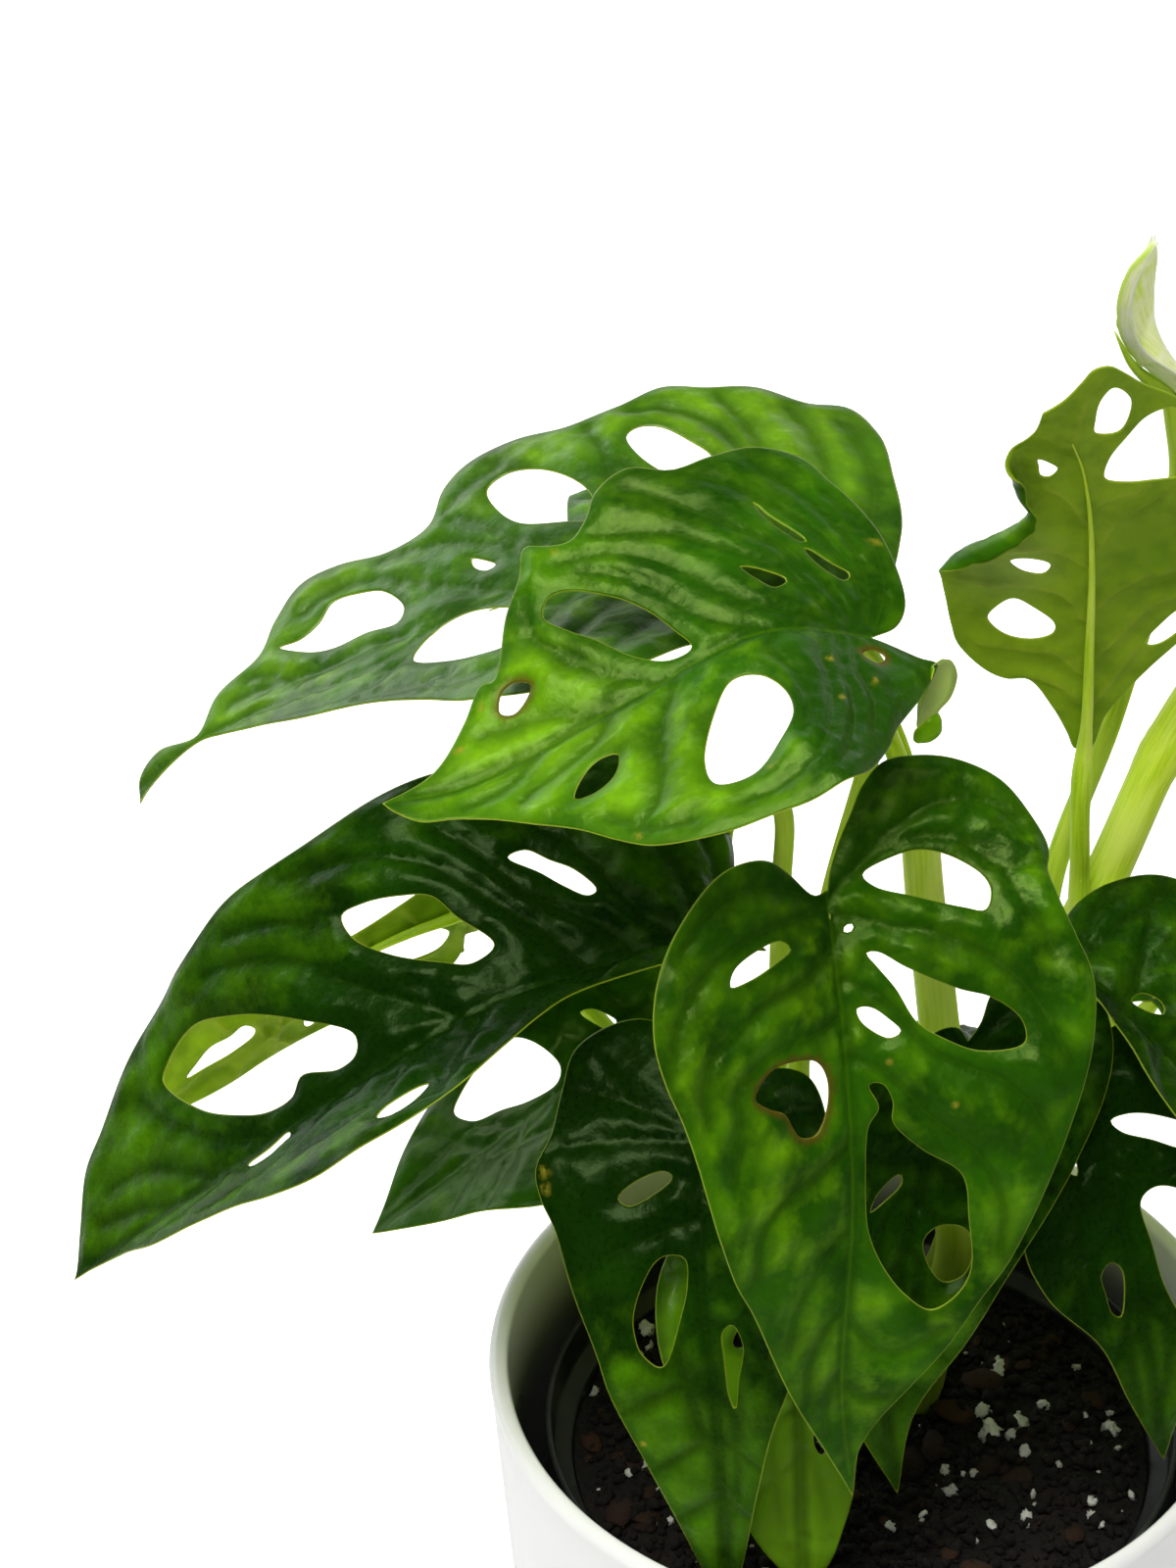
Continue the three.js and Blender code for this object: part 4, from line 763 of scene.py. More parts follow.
def blade_plan(leaf, length, spacing):
    """A blade's flat triangles in (along, out), its rings, and each point's distance to edge and veins."""
    rings = [margin_ring(leaf, length, 0.9 * spacing)]
    rings += [hole_ring(hole, 0.75 * spacing) for hole in leaf["holes"]]
    edges = [closed_line(ring) for ring in rings]
    if "veins" in leaf:
        veins = [even_points(spline(line), VEIN_STEP) for line in leaf["veins"]]
    else:
        veins = vein_lines(length, rings, leaf.get("vein_gap", VEIN_GAP))

    insets = np.concatenate([inset_points(ring, rings, k == 0) for k, ring in enumerate(rings)])
    rib = np.arange(-NOTCH + spacing, length - spacing, spacing)
    beside = np.concatenate([even_points(line, spacing) for line in veins])
    beside = beside[np.abs(beside[:, 1]) > 0.6 * spacing]
    lines = np.concatenate([np.stack([rib, np.zeros_like(rib)], -1), beside])
    lines = lines[on_leaf(lines, rings)]
    lines = lines[distance_to_lines(lines, edges) > INSET + 0.35 * spacing]

    low, high = rings[0].min(0), rings[0].max(0)
    rows = np.arange(low[1], high[1], spacing * math.sqrt(3) / 2)
    grid = np.stack(np.meshgrid(np.arange(low[0], high[0], spacing), rows), -1)
    grid[1::2, :, 0] += spacing / 2
    grid = grid.reshape(-1, 2)
    grid = grid[on_leaf(grid, rings)]
    grid = grid[distance_to_lines(grid, edges) > INSET + 0.55 * spacing]
    grid = grid[distance_to_points(grid, lines) > 0.6 * spacing]

    borders, first = [], 0
    for ring in rings:
        borders += [(first + i, first + (i + 1) % len(ring)) for i in range(len(ring))]
        first += len(ring)
    corners = [Vector(point) for point in np.concatenate([*rings, insets, lines, grid]).tolist()]
    points, _, faces, *_ = geometry.delaunay_2d_cdt(corners, borders, [], 0, 1e-5)
    points, faces = np.array([tuple(point) for point in points]), np.array(faces)
    faces = faces[on_leaf(points[faces].mean(1), rings)]
    used, numbers = np.unique(faces, return_inverse=True)
    points, faces = points[used], numbers.reshape(-1, 3)
    a, b, c = points[faces].transpose(1, 0, 2)
    area = (b[:, 0] - a[:, 0]) * (c[:, 1] - a[:, 1]) - (b[:, 1] - a[:, 1]) * (c[:, 0] - a[:, 0])
    faces[area < 0] = faces[area < 0][:, ::-1]
    return points, faces, rings, distance_to_lines(points, edges), distance_to_lines(points, veins)


def border_edges(faces):
    """The directed edges that only one face has."""
    directed = np.concatenate([faces[:, [0, 1]], faces[:, [1, 2]], faces[:, [2, 0]]])
    size = directed.max() + 1
    keys, back = directed @ [size, 1], directed @ [1, size]
    return directed[~np.isin(keys, back)]


def uneven(along, out, size, draw):
    """A smooth random field from about -1 to 1, whose bumps are about the given size across."""
    total = np.zeros_like(along)
    for _ in range(16):
        angle, phase = draw.uniform(0, TURN, 2)
        rate = math.pi / (size * draw.uniform(0.7, 1.5))
        total += np.cos(rate * (along * math.cos(angle) + out * math.sin(angle)) + phase)
    return total / 4


def waves(along, out, half_width, draw):
    """A slow waving of the blade that grows towards its margins."""
    sides = [uneven(along, 0.4 * out, WAVE_SIZE, draw) for _ in range(2)]
    return np.where(out > 0, *sides) * smoothstep(0.15, 1, np.abs(out) / half_width)


def folded_lobe(left, right):
    """A small lobe folded under beside the junction: points, triangles, normals, distances to its margin."""
    left, right = spline(left, per_span=8), spline(right, per_span=8)
    across = np.linspace(0, 1, LOBE_POINTS)
    points = left[:, None] * (1 - across)[:, None] + right[:, None] * across[:, None]
    normal = unit(np.cross(np.gradient(points, axis=1), np.gradient(points, axis=0)))
    width = np.linalg.norm(right - left, axis=1)[:, None]
    points = points + (LOBE_ARCH * width * across * (1 - across))[..., None] * normal
    first = (np.arange(len(left) - 1)[:, None] * LOBE_POINTS + np.arange(LOBE_POINTS - 1)).reshape(-1, 1)
    faces = np.concatenate([first + [0, 1, LOBE_POINTS + 1], first + [0, LOBE_POINTS + 1, LOBE_POINTS]])
    edge = width * np.minimum(across, 1 - across)
    return points.reshape(-1, 3), faces, normal.reshape(-1, 3), edge.ravel()


# Folded lobes take painted light of 0.6 over all of them.
LOBE_LOOK = {"vein": 30, "rib": 30, "bulge": 1, "glow": 0.6, "cloud": 0, "spots": 0, "scorch": 0}
FIELDS = {"place": ("along", "out", "side"), "lines": ("edge", "vein", "rib"),
          "marks": ("spots", "scorch", "bulge"),
          "tone": ("glow", "cloud", "side")}


def blade_piece(name, leaf, surface, material, slot, spacing, seed):
    """A leaf's blade, with what its material needs to know at each point in the fields of its mesh."""
    plan, faces, rings, edge, vein = blade_plan(leaf, surface.length, spacing)
    along, out = plan.T.copy()
    draw = np.random.default_rng(seed)
    rib = np.abs(out - np.interp(along, *np.array(leaf.get("midrib", [[0, 0]]), float).T))
    bulge = (1 - hump(np.minimum(vein, 1.3 * rib), BULGE_WIDTH)) * smoothstep(0, 3.5, edge)
    crease = hump(np.minimum(vein, rib), CREASE_WIDTH) * smoothstep(0, 1, edge)
    quilt = leaf.get("quilt", 1.3) * (1 - leaf.get("calm", 0) * smoothstep(0.3, 0.65, along / surface.length))
    lift = quilt * (bulge * (1 + SWELL * uneven(along, out, SWELL_SIZE, draw)) - CREASE * crease)
    lift += GRAIN * quilt * uneven(along, out, GRAIN_SIZE, draw) * smoothstep(0.5, 2, edge)
    half_width = max(far for _, far in leaf["right"] + leaf["left"])
    lift += leaf.get("wave", 1.2) * waves(along, out, half_width, draw)
    normal = surface.normal(along, out)
    middle = surface.at(along, out) + lift[:, None] * normal

    at = {"along": along, "out": out, "edge": edge, "vein": vein, "rib": rib, "bulge": bulge,
          "cloud": uneven(along, out, SWELL_SIZE, draw)}
    at["glow"], at["spots"], at["scorch"] = np.zeros((3, len(plan)))
    # Patches of painted light, and of painted shade where the strength is below zero.
    for a, o, size, strength in leaf.get("glow", []):
        at["glow"] += strength * np.exp(-((along - a) ** 2 + (out - o) ** 2) / size ** 2)
    for a, o, size in leaf.get("spots", []):
        at["spots"] = np.maximum(at["spots"], smoothstep(size, 0.35 * size, np.hypot(along - a, out - o)))
    for index in leaf.get("scorched", []):
        gap = distance_to_lines(plan, [closed_line(rings[1 + index])])
        at["scorch"] = np.maximum(at["scorch"], smoothstep(SCORCH_WIDTH, 0.2, gap))
    for left, right in leaf.get("laps", []):
        lobe, lobe_faces, lobe_normal, lobe_edge = folded_lobe(left, right)
        faces = np.concatenate([faces, lobe_faces + len(middle)])
        middle, normal = np.concatenate([middle, lobe]), np.concatenate([normal, lobe_normal])
        added = {**LOBE_LOOK, "along": lobe[:, 2], "out": lobe[:, 0], "edge": lobe_edge}
        at = {key: np.r_[values, np.broadcast_to(added[key], len(lobe))] for key, values in at.items()}

    half = RIM_HALF + (HALF - RIM_HALF) * smoothstep(0, INSET, at["edge"])
    ridge = RIDGE * hump(at["vein"], RIDGE_WIDTH) * smoothstep(0.3, 2, at["edge"])
    points = np.concatenate([middle + half[:, None] * normal, middle - (half + ridge)[:, None] * normal])
    count = len(middle)
    rim = border_edges(faces)
    walls = np.concatenate([rim[:, ::-1], rim + count], -1)
    both = {key: np.r_[values, values] for key, values in at.items()}
    both["side"] = np.repeat([0, 1], count)
    fields = {field: np.stack([both[key] for key in keys], -1) for field, keys in FIELDS.items()}
    made_piece(name + "_leaf", points, [*faces, *(faces[:, ::-1] + count), *walls], material, slot,
               [name + "_blade"], fields)


# ---- Round pieces ----
def tube(centre, radius, sides, groove=0.0):
    """Points, faces and 'place' (around the tube, along it) of a closed tube, with a groove along its top."""
    centre = np.asarray(centre, float)
    radius = np.broadcast_to(radius, len(centre))[:, None]
    tangent = unit(np.gradient(centre, axis=0))
    side = np.cross(tangent[0], (0, 0, 1))
    if np.linalg.norm(side) < 0.1:
        side = np.cross(tangent[0], (0, 1, 0))
    across = [unit(side)]
    for now in tangent[1:]:
        across.append(unit(across[-1] - now * (across[-1] @ now)))
    across = np.array(across)
    top = np.cross(across, tangent)
    angle = np.linspace(0, TURN, sides, endpoint=False)
    dent = 1 - groove * hump((angle - math.pi / 2 + math.pi) % TURN - math.pi, 0.45)
    ring = np.cos(angle)[None, :, None] * across[:, None] + np.sin(angle)[None, :, None] * top[:, None]
    points = centre[:, None] + ring * (radius * dent)[..., None]
    last = (len(centre) - 1) * sides
    faces = [*band_faces(len(centre), sides).tolist(), list(range(sides))[::-1],
             list(range(last, last + sides))]
    around = np.broadcast_arrays(np.cos(angle) * radius, np.sin(angle) * radius,
                                 lengths_along(centre)[:, None])
    return points.reshape(-1, 3), faces, np.stack(around, -1).reshape(-1, 3)


STALK = {"base": 2.5, "top": 1.8, "tip": 0.15, "sides": 14, "groove": 0.16}
STEM_SIDES, STEM_STEP = 28, 1.2
NODE_GAP, FIRST_NODE = 31.0, 52.0
BLUNT = 3.0             # how long the rounded end of a stem is


def stalk_piece(name, leaf, surface, material):
    """A petiole that runs on under the blade as its raised midrib."""
    base, top, tip = STALK["base"], STALK["top"], STALK["tip"]
    ahead = np.r_[1.5, 5.0, np.arange(12.0, leaf.get("keel", 0.9) * surface.length, 9.0)]
    still = np.zeros_like(ahead)
    rib_radius = np.interp(ahead, [0, 8, surface.length], [0.8 * top, 0.62 * top, tip])
    sunk = (0.1 + 0.5 * leaf.get("quilt", 1.3)) * smoothstep(-2, 6, ahead)
    under = surface.at(ahead, still) - (rib_radius + sunk)[:, None] * surface.normal(ahead, still)
    path = even_points(spline(np.concatenate([np.array(leaf["petiole"], float), under]), per_span=16), 1.6)
    places = lengths_along(path)
    joint = places[np.argmin(((path - under[0]) ** 2).sum(1))]
    radius = np.interp(places, [0, joint - 6, joint + 6, places[-1]], [base, top, 0.66 * top, tip])
    radius = radius * (1 + 0.16 * hump(places - joint + 9, 6))
    radius = radius * (1 + 0.35 * hump(places, 7))
    points, faces, place = tube(path, radius, STALK["sides"], STALK["groove"])
    place[:, 2] += 40 * (len(name) + 7)
    made_piece(name + "_stalk", points, outward(points, faces), material, "stem", [name + "_petiole"],
               {"place": place})


def stem_piece(name, stem, material):
    """A stem with its swollen nodes and the thin ring scar above each."""
    path = even_points(spline(stem["path"]), STEM_STEP)
    places = lengths_along(path)
    from_node = (places - FIRST_NODE) % NODE_GAP
    from_node = np.minimum(from_node, NODE_GAP - from_node)
    radius = np.interp(places, [0, places[-1]], stem["radius"])
    radius = radius * (1 + 0.13 * hump(from_node, 3.4) - 0.07 * hump(from_node - 1.2, 0.8))
    left = np.minimum(places[-1] - places, BLUNT)
    radius = radius * np.sqrt(np.clip(1 - ((BLUNT - left) / 3.3) ** 2, 0, 1))
    points, faces, place = tube(path, radius, STEM_SIDES)
    made_piece(name + "_skin", points, outward(points, faces), material, "stem", [name], {"place": place})


# ---- Holders ----
PLANTER = {"height": 135.0, "lip_radius": 78.0, "wall": 4.0, "floor": 6.0, "taper": 0.08, "foot": 4.0,
           "lip": 1.9,
           "ring": 5.0, "ring_height": 1.2, "sides": 192}
POT = {"rim": 118.0, "rim_radius": 66.4, "band": 10.0, "wall": 1.6, "base_radius": 50.0, "step": 2.9,
       "foot": 3.0,
       "base": 6.3, "lean": 0.3, "sides": 144}
BAND_FOOT = [[-0.8, 0.1], [-0.4, 0.6]]          # [out from the rim's radius, up from the band's lower end]
BAND_TOP = [[-0.1, -1.2], [0, -0.7], [-0.2, -0.15], [-0.6, 0], [-1.1, -0.15], [-1.3, -0.7]]  # up from the rim
DRAIN = {"count": 4, "radius": 4.0, "ring": 30.0, "sides": 32, "depth": 6.0}


def level_ring(radius, height, sides):
    angle = np.linspace(0, TURN, sides, endpoint=False)
    return np.column_stack([radius * np.cos(angle), radius * np.sin(angle), np.full(sides, height)])


def lathe(profile, sides):
    """A closed body turned about the upright axis; its profile of [radius, height] starts and ends on it."""
    rows = len(profile) - 2
    low, last = rows * sides, (rows - 1) * sides
    poles = [[0, 0, profile[0][1]], [0, 0, profile[-1][1]]]
    points = np.concatenate([*[level_ring(radius, height, sides) for radius, height in profile[1:-1]], poles])
    faces = [*fan(low, 0, sides)[:, ::-1].tolist(), *fan(low + 1, last, sides).tolist(),
             *band_faces(rows, sides).tolist()]
    return points, outward(points, faces)


def corner(radius, height, size, start, end, steps=6):
    """Points of a round corner in a profile, with angles in degrees."""
    angles = np.radians(np.linspace(start, end, steps + 1))
    return [[radius + size * math.cos(a), height + size * math.sin(a)] for a in angles]


def upright(low, high, radius_at, step=9.0):
    """Points up or down a side wall."""
    count = max(2, round(abs(high - low) / step))
    return [[radius_at(z), z] for z in np.linspace(low, high, count + 1)]


def planter_piece(material):
    height, lip, foot, floor = PLANTER["height"], PLANTER["lip"], PLANTER["foot"], PLANTER["floor"]

    def outer(z):
        return PLANTER["lip_radius"] - PLANTER["taper"] * (height - z)

    def inner(z):
        return outer(z) - PLANTER["wall"]

    ring = outer(0) - foot - PLANTER["ring"]
    profile = [
        [0, PLANTER["ring_height"]], [ring, PLANTER["ring_height"]], [ring + 1, 0],
        *corner(outer(foot) - foot, foot, foot, -90, 0), *upright(foot + 1, height - lip - 1, outer),
        *corner(outer(height) - lip, height - lip, lip, 0, 90),
        *corner(inner(height) + lip, height - lip, lip, 90, 180),
        *upright(height - lip - 1, floor + foot + 1, inner),
        *corner(inner(floor) - foot, floor + foot, foot, 0, -90), [0, floor]]
    made_piece("cover_pot", *lathe(profile, PLANTER["sides"]), material, "glaze", ["planter"])


def pot_radius(z):
    """The grower's pot outside, below the band at its rim."""
    slope = (POT["rim_radius"] - POT["step"] - POT["base_radius"]) / (POT["rim"] - POT["base"])
    return POT["base_radius"] + slope * (z - POT["base"])


def pot_piece(material):
    rim, rim_radius, wall, foot, base = (POT[key] for key in ("rim", "rim_radius", "wall", "foot", "base"))
    under = rim - POT["band"]

    def inner(z):
        return pot_radius(z) - wall

    def band(inset):
        return lambda z: rim_radius - inset + POT["lean"] * (z - under) / POT["band"]

    profile = [
        [0, base], *corner(pot_radius(base + foot) - foot, base + foot, foot, -90, 0),
        *upright(base + foot + 1, under - 1, pot_radius),
        [pot_radius(under), under], *[[rim_radius + out, under + up] for out, up in BAND_FOOT],
        *upright(under + 1.2, rim - 1.8, band(0.4), 2.0),
        *[[rim_radius + out, rim + up] for out, up in BAND_TOP],
        *upright(rim - 1.8, under + 2.6, band(1.8), 2.0),
        [rim_radius - 2.1, under + 1.8], [inner(under) + 0.4, under + 0.9], [inner(under), under],
        *upright(under - 1, base + wall + foot, inner),
        [inner(base + wall) - foot, base + wall], [0, base + wall]]
    piece = made_piece("grow_pot", *lathe(profile, POT["sides"]), material, "pot_plastic", ["nursery_pot"])
    cut_drain_holes(piece)


def cut_drain_holes(piece):
    """Cuts the round holes in the grower's pot's floor."""
    cutters = []
    for x, y, _ in level_ring(DRAIN["ring"], 0, DRAIN["count"]):
        bpy.ops.mesh.primitive_cylinder_add(vertices=DRAIN["sides"], radius=DRAIN["radius"] * MM,
                                            depth=DRAIN["depth"] * MM,
                                            location=(x * MM, y * MM, POT["base"] * MM))
        cutters.append(bpy.context.object)
        cut = piece.modifiers.new("drain", "BOOLEAN")
        cut.operation, cut.solver, cut.object = "DIFFERENCE", "EXACT", bpy.context.object
    graph = bpy.context.evaluated_depsgraph_get()
    piece.data = bpy.data.meshes.new_from_object(piece.evaluated_get(graph))
    piece.modifiers.clear()
    for cutter in cutters:
        bpy.data.objects.remove(cutter)


# ---- Soil ----
SOIL = {"level": 110.0, "mound": 1.5, "edge_drop": 3.0, "gap": 0.3, "ring_step": 0.95, "sides": 360,
        "rough": 0.016}
SOIL_RADIUS = pot_radius(POT["rim"] - POT["band"]) - POT["wall"] - SOIL["gap"]
BUMPS = [(length, *random.uniform(0, TURN, 4)) for length in (31, 17, 11, 7.3, 4.9, 3.1) for _ in range(3)]
STEM_FEET = ((12, 11), (-6, 7), (19, 45))


def soil_height(x, y):
    """The soil's top: a low mound with lumps of every size, and a dip by the pot's wall."""
    part = np.hypot(x, y) / SOIL_RADIUS
    height = SOIL["level"] + SOIL["mound"] * (1 - part) - SOIL["edge_drop"] * smoothstep(0.72, 1, part)
    for length, turn, phase, turn2, phase2 in BUMPS:
        u = (x * math.cos(turn) + y * math.sin(turn)) * 2 * math.pi / length
        v = (x * math.cos(turn2) + y * math.sin(turn2)) * 2 * math.pi / length
        height = height + SOIL["rough"] * length * np.sin(u + phase) * np.sin(v + phase2)
    return height


def soil_piece(material):
    """The bed: a rough top of close rings of points, and plain sides and foot within the grower's pot."""
    sides = SOIL["sides"]
    rows = int(SOIL_RADIUS / SOIL["ring_step"])
    rings = [level_ring(SOIL_RADIUS * k / rows, 0, sides)[:, :2] for k in range(1, rows + 1)]
    flat = np.concatenate([[[0.0, 0.0]], *rings])
    jitter = random.uniform(-0.3, 0.3, flat.shape) * (np.hypot(*flat.T) < SOIL_RADIUS - 1)[:, None]
    flat = flat + jitter * (np.hypot(*flat.T) > 12)[:, None]
    top = np.column_stack([flat, soil_height(*flat.T) + random.uniform(-0.35, 0.35, len(flat))])
    foot = POT["base"] + POT["wall"] + SOIL["gap"]
    low = level_ring(POT["base_radius"] - POT["wall"] - 1, foot, sides)
    points = np.concatenate([top, low, [[0, 0, foot]]])
    faces = [*fan(0, 1, sides).tolist(), *(1 + band_faces(rows + 1, sides)[:, [0, 3, 2, 1]]).tolist(),
             *fan(len(points) - 1, 1 + rows * sides, sides)[:, [0, 2, 1]].tolist()]
    made_piece("soil_mass", points, outward(points, faces), material, "soil", ["soil"])


def ball(detail):
    """Points and triangles of a round ball of radius 1."""
    bpy.ops.mesh.primitive_ico_sphere_add(subdivisions=detail, radius=1)
    shape = bpy.context.object
    points = np.array([tuple(v.co) for v in shape.data.vertices])
    faces = np.array([tuple(p.vertices) for p in shape.data.polygons])
    bpy.data.objects.remove(shape)
    return points, faces


def turned(points, draw):
    """The points in a random direction."""
    w, x, y, z = unit(draw.normal(size=4))
    matrix = np.array([
        [1 - 2 * (y * y + z * z), 2 * (x * y - z * w), 2 * (x * z + y * w)],
        [2 * (x * y + z * w), 1 - 2 * (x * x + z * z), 2 * (y * z - x * w)],
        [2 * (x * z - y * w), 2 * (y * z + x * w), 1 - 2 * (x * x + y * y)]])
    return points @ matrix.T


def on_soil(draw, reach):
    """A place on the soil, clear of the stems."""
    while True:
        radius = SOIL_RADIUS * reach * math.sqrt(draw.random())
        angle = draw.uniform(0, TURN)
        x, y = radius * math.cos(angle), radius * math.sin(angle)
        if min(math.hypot(x - a, y - b) for a, b in STEM_FEET) > 6:
            return x, y


def scattered(name, material, slot, seed, count, detail, sizes, flatness, rough, sink, places=()):
    """Grains strewn over the soil, as one piece: the given places [x, y, size] first, then random ones."""
    draw = np.random.default_rng(seed)
    base, triangles = ball(detail)
    points, faces, place = [], [], []
    for i in range(count):
        if i < len(places):
            x, y, size = places[i]
        else:
            x, y = on_soil(draw, 0.97)
            size = sizes[0] + (sizes[1] - sizes[0]) * draw.random() ** 2.2
        stretch = size * np.array([1, draw.uniform(0.55, 0.95), draw.uniform(*flatness)])
        lumps = 1 + rough * draw.normal(size=(len(base), 1)) * 0.5
        for _ in range(3):
            way = unit(draw.normal(size=3))
            lumps += rough * 0.6 * np.sin(2.4 * (base @ way)[:, None] + draw.uniform(0, 6))
        grain = base * lumps * stretch
        if flatness[1] < 0.5:
            tilt, spin = draw.uniform(-0.45, 0.45), draw.uniform(0, TURN)
            c, s = math.cos(spin), math.sin(spin)
            grain = grain @ np.array([[c, s, 0], [-s, c, 0], [0, 0, 1]])
            grain[:, 2] += tilt * grain[:, 0]
        else:
            grain = turned(grain, draw)
        points.append(grain + [x, y, soil_height(x, y) - grain[:, 2].min() * (1 - sink)])
        faces.append(triangles + i * len(base))
        place.append(np.column_stack([np.full(len(base), draw.random()), base[:, :2]]))
    made_piece(name, np.concatenate(points), np.concatenate(faces), material, slot, (),
               {"place": np.concatenate(place)})


def fibre_piece(material, count=60, steps=9, step=1.1):
    """Thin root fibres that lie on the soil."""
    draw = np.random.default_rng(SEED + 5)
    points, faces, total = [], [], 0
    for _ in range(count):
        x, y = on_soil(draw, 0.9)
        heading = draw.uniform(0, TURN)
        path = []
        for _ in range(steps):
            path.append([x, y, soil_height(x, y) + 0.35])
            heading += draw.normal() * 0.45
            x, y = x + step * math.cos(heading), y + step * math.sin(heading)
            if math.hypot(x, y) > SOIL_RADIUS - 1.5:
                break
        if len(path) < 4:
            continue
        part, sides, _ = tube(path, draw.uniform(0.1, 0.22), 5)
        faces += [[total + corner_index for corner_index in face] for face in outward(part, sides)]
        points.append(part)
        total += len(part)
    made_piece("root_fibres", np.concatenate(points), faces, material, "bark")


# ---- Materials ----
class Nodes:
    """Short calls that add shader nodes to a node tree."""

    def __init__(self, tree):
        self.tree = tree
        tree.nodes.clear()

    def node(self, kind, sockets=None, output=0, **settings):
        """A new node with its settings made and its inputs fed; the output asked for, by number or name."""
        made = self.tree.nodes.new("ShaderNode" + kind)
        for key, value in settings.items():
            setattr(made, key, value)
        for key, value in (sockets or {}).items():
            self.put(value, made.inputs[key])
        return made.outputs[output] if made.outputs else made

    def put(self, value, socket):
        if isinstance(value, bpy.types.NodeSocket):
            self.tree.links.new(value, socket)
        elif isinstance(value, tuple) and len(value) == 3 and socket.type == "RGBA":
            socket.default_value = (*value, 1)
        else:
            socket.default_value = value

    def parts(self, vector):
        return self.node("SeparateXYZ", {0: vector}).node.outputs

    def field(self, name):
        """The vector kept at each point of the mesh, and its three parts."""
        vector = self.node("Attribute", output="Vector", attribute_name=name)
        return vector, *self.parts(vector)

    def object_place(self):
        return self.node("TexCoord", output="Object")

    def math(self, kind, a, b, clamp=False):
        return self.node("Math", {0: a, 1: b}, operation=kind, use_clamp=clamp)

    def add(self, a, b):
        return self.math("ADD", a, b)

    def times(self, a, b, clamp=False):
        return self.math("MULTIPLY", a, b, clamp)

    def ramp(self, value, low, high, start=0.0, end=1.0):
        sockets = {"Value": value, "From Min": low, "From Max": high, "To Min": start, "To Max": end}
        return self.node("MapRange", sockets, interpolation_type="SMOOTHSTEP")

    def mix(self, part, first, second):
        return self.node("Mix", {"Factor": part, "A": first, "B": second}, "Result", data_type="RGBA")

    def layered(self, colour, *layers):
        """The colour under layers of (how much of it shows, colour)."""
        for share, tone in layers:
            colour = self.mix(share, colour, tone)
        return colour

    def stretched(self, vector, scale):
        return self.node("Mapping", {"Vector": vector, "Scale": scale})

    def noise(self, vector, scale, detail=3.0, rough=0.55):
        sockets = {"Vector": vector, "Scale": scale, "Detail": detail, "Roughness": rough}
        return self.node("TexNoise", sockets, "Fac")


class Surface(Nodes):
    """The nodes of a new material around its principled shader."""

    def __init__(self, name):
        self.material = bpy.data.materials.new(name)
        self.material.use_nodes = True
        super().__init__(self.material.node_tree)
        self.shader = self.node("BsdfPrincipled").node
        self.node("OutputMaterial", {"Surface": self.shader.outputs[0]})

    def bump(self, height, distance, strength=1.0):
        self.put(self.node("Bump", {"Height": height, "Distance": distance, "Strength": strength}),
                 self.shader.inputs["Normal"])

    def finish(self, colour, roughness, **plain):
        for name, value in {"Base_Color": colour, "Roughness": roughness, **plain}.items():
            self.put(value, self.shader.inputs[name.replace("_", " ")])
        return self.material


MARGIN_TONE = (0.36, 0.42, 0.03)
LIT_BACK_TONE = (0.42, 0.5, 0.17)
SPOT_TONE, SCORCH_TONE = (0.3, 0.27, 0.02), (0.12, 0.055, 0.008)


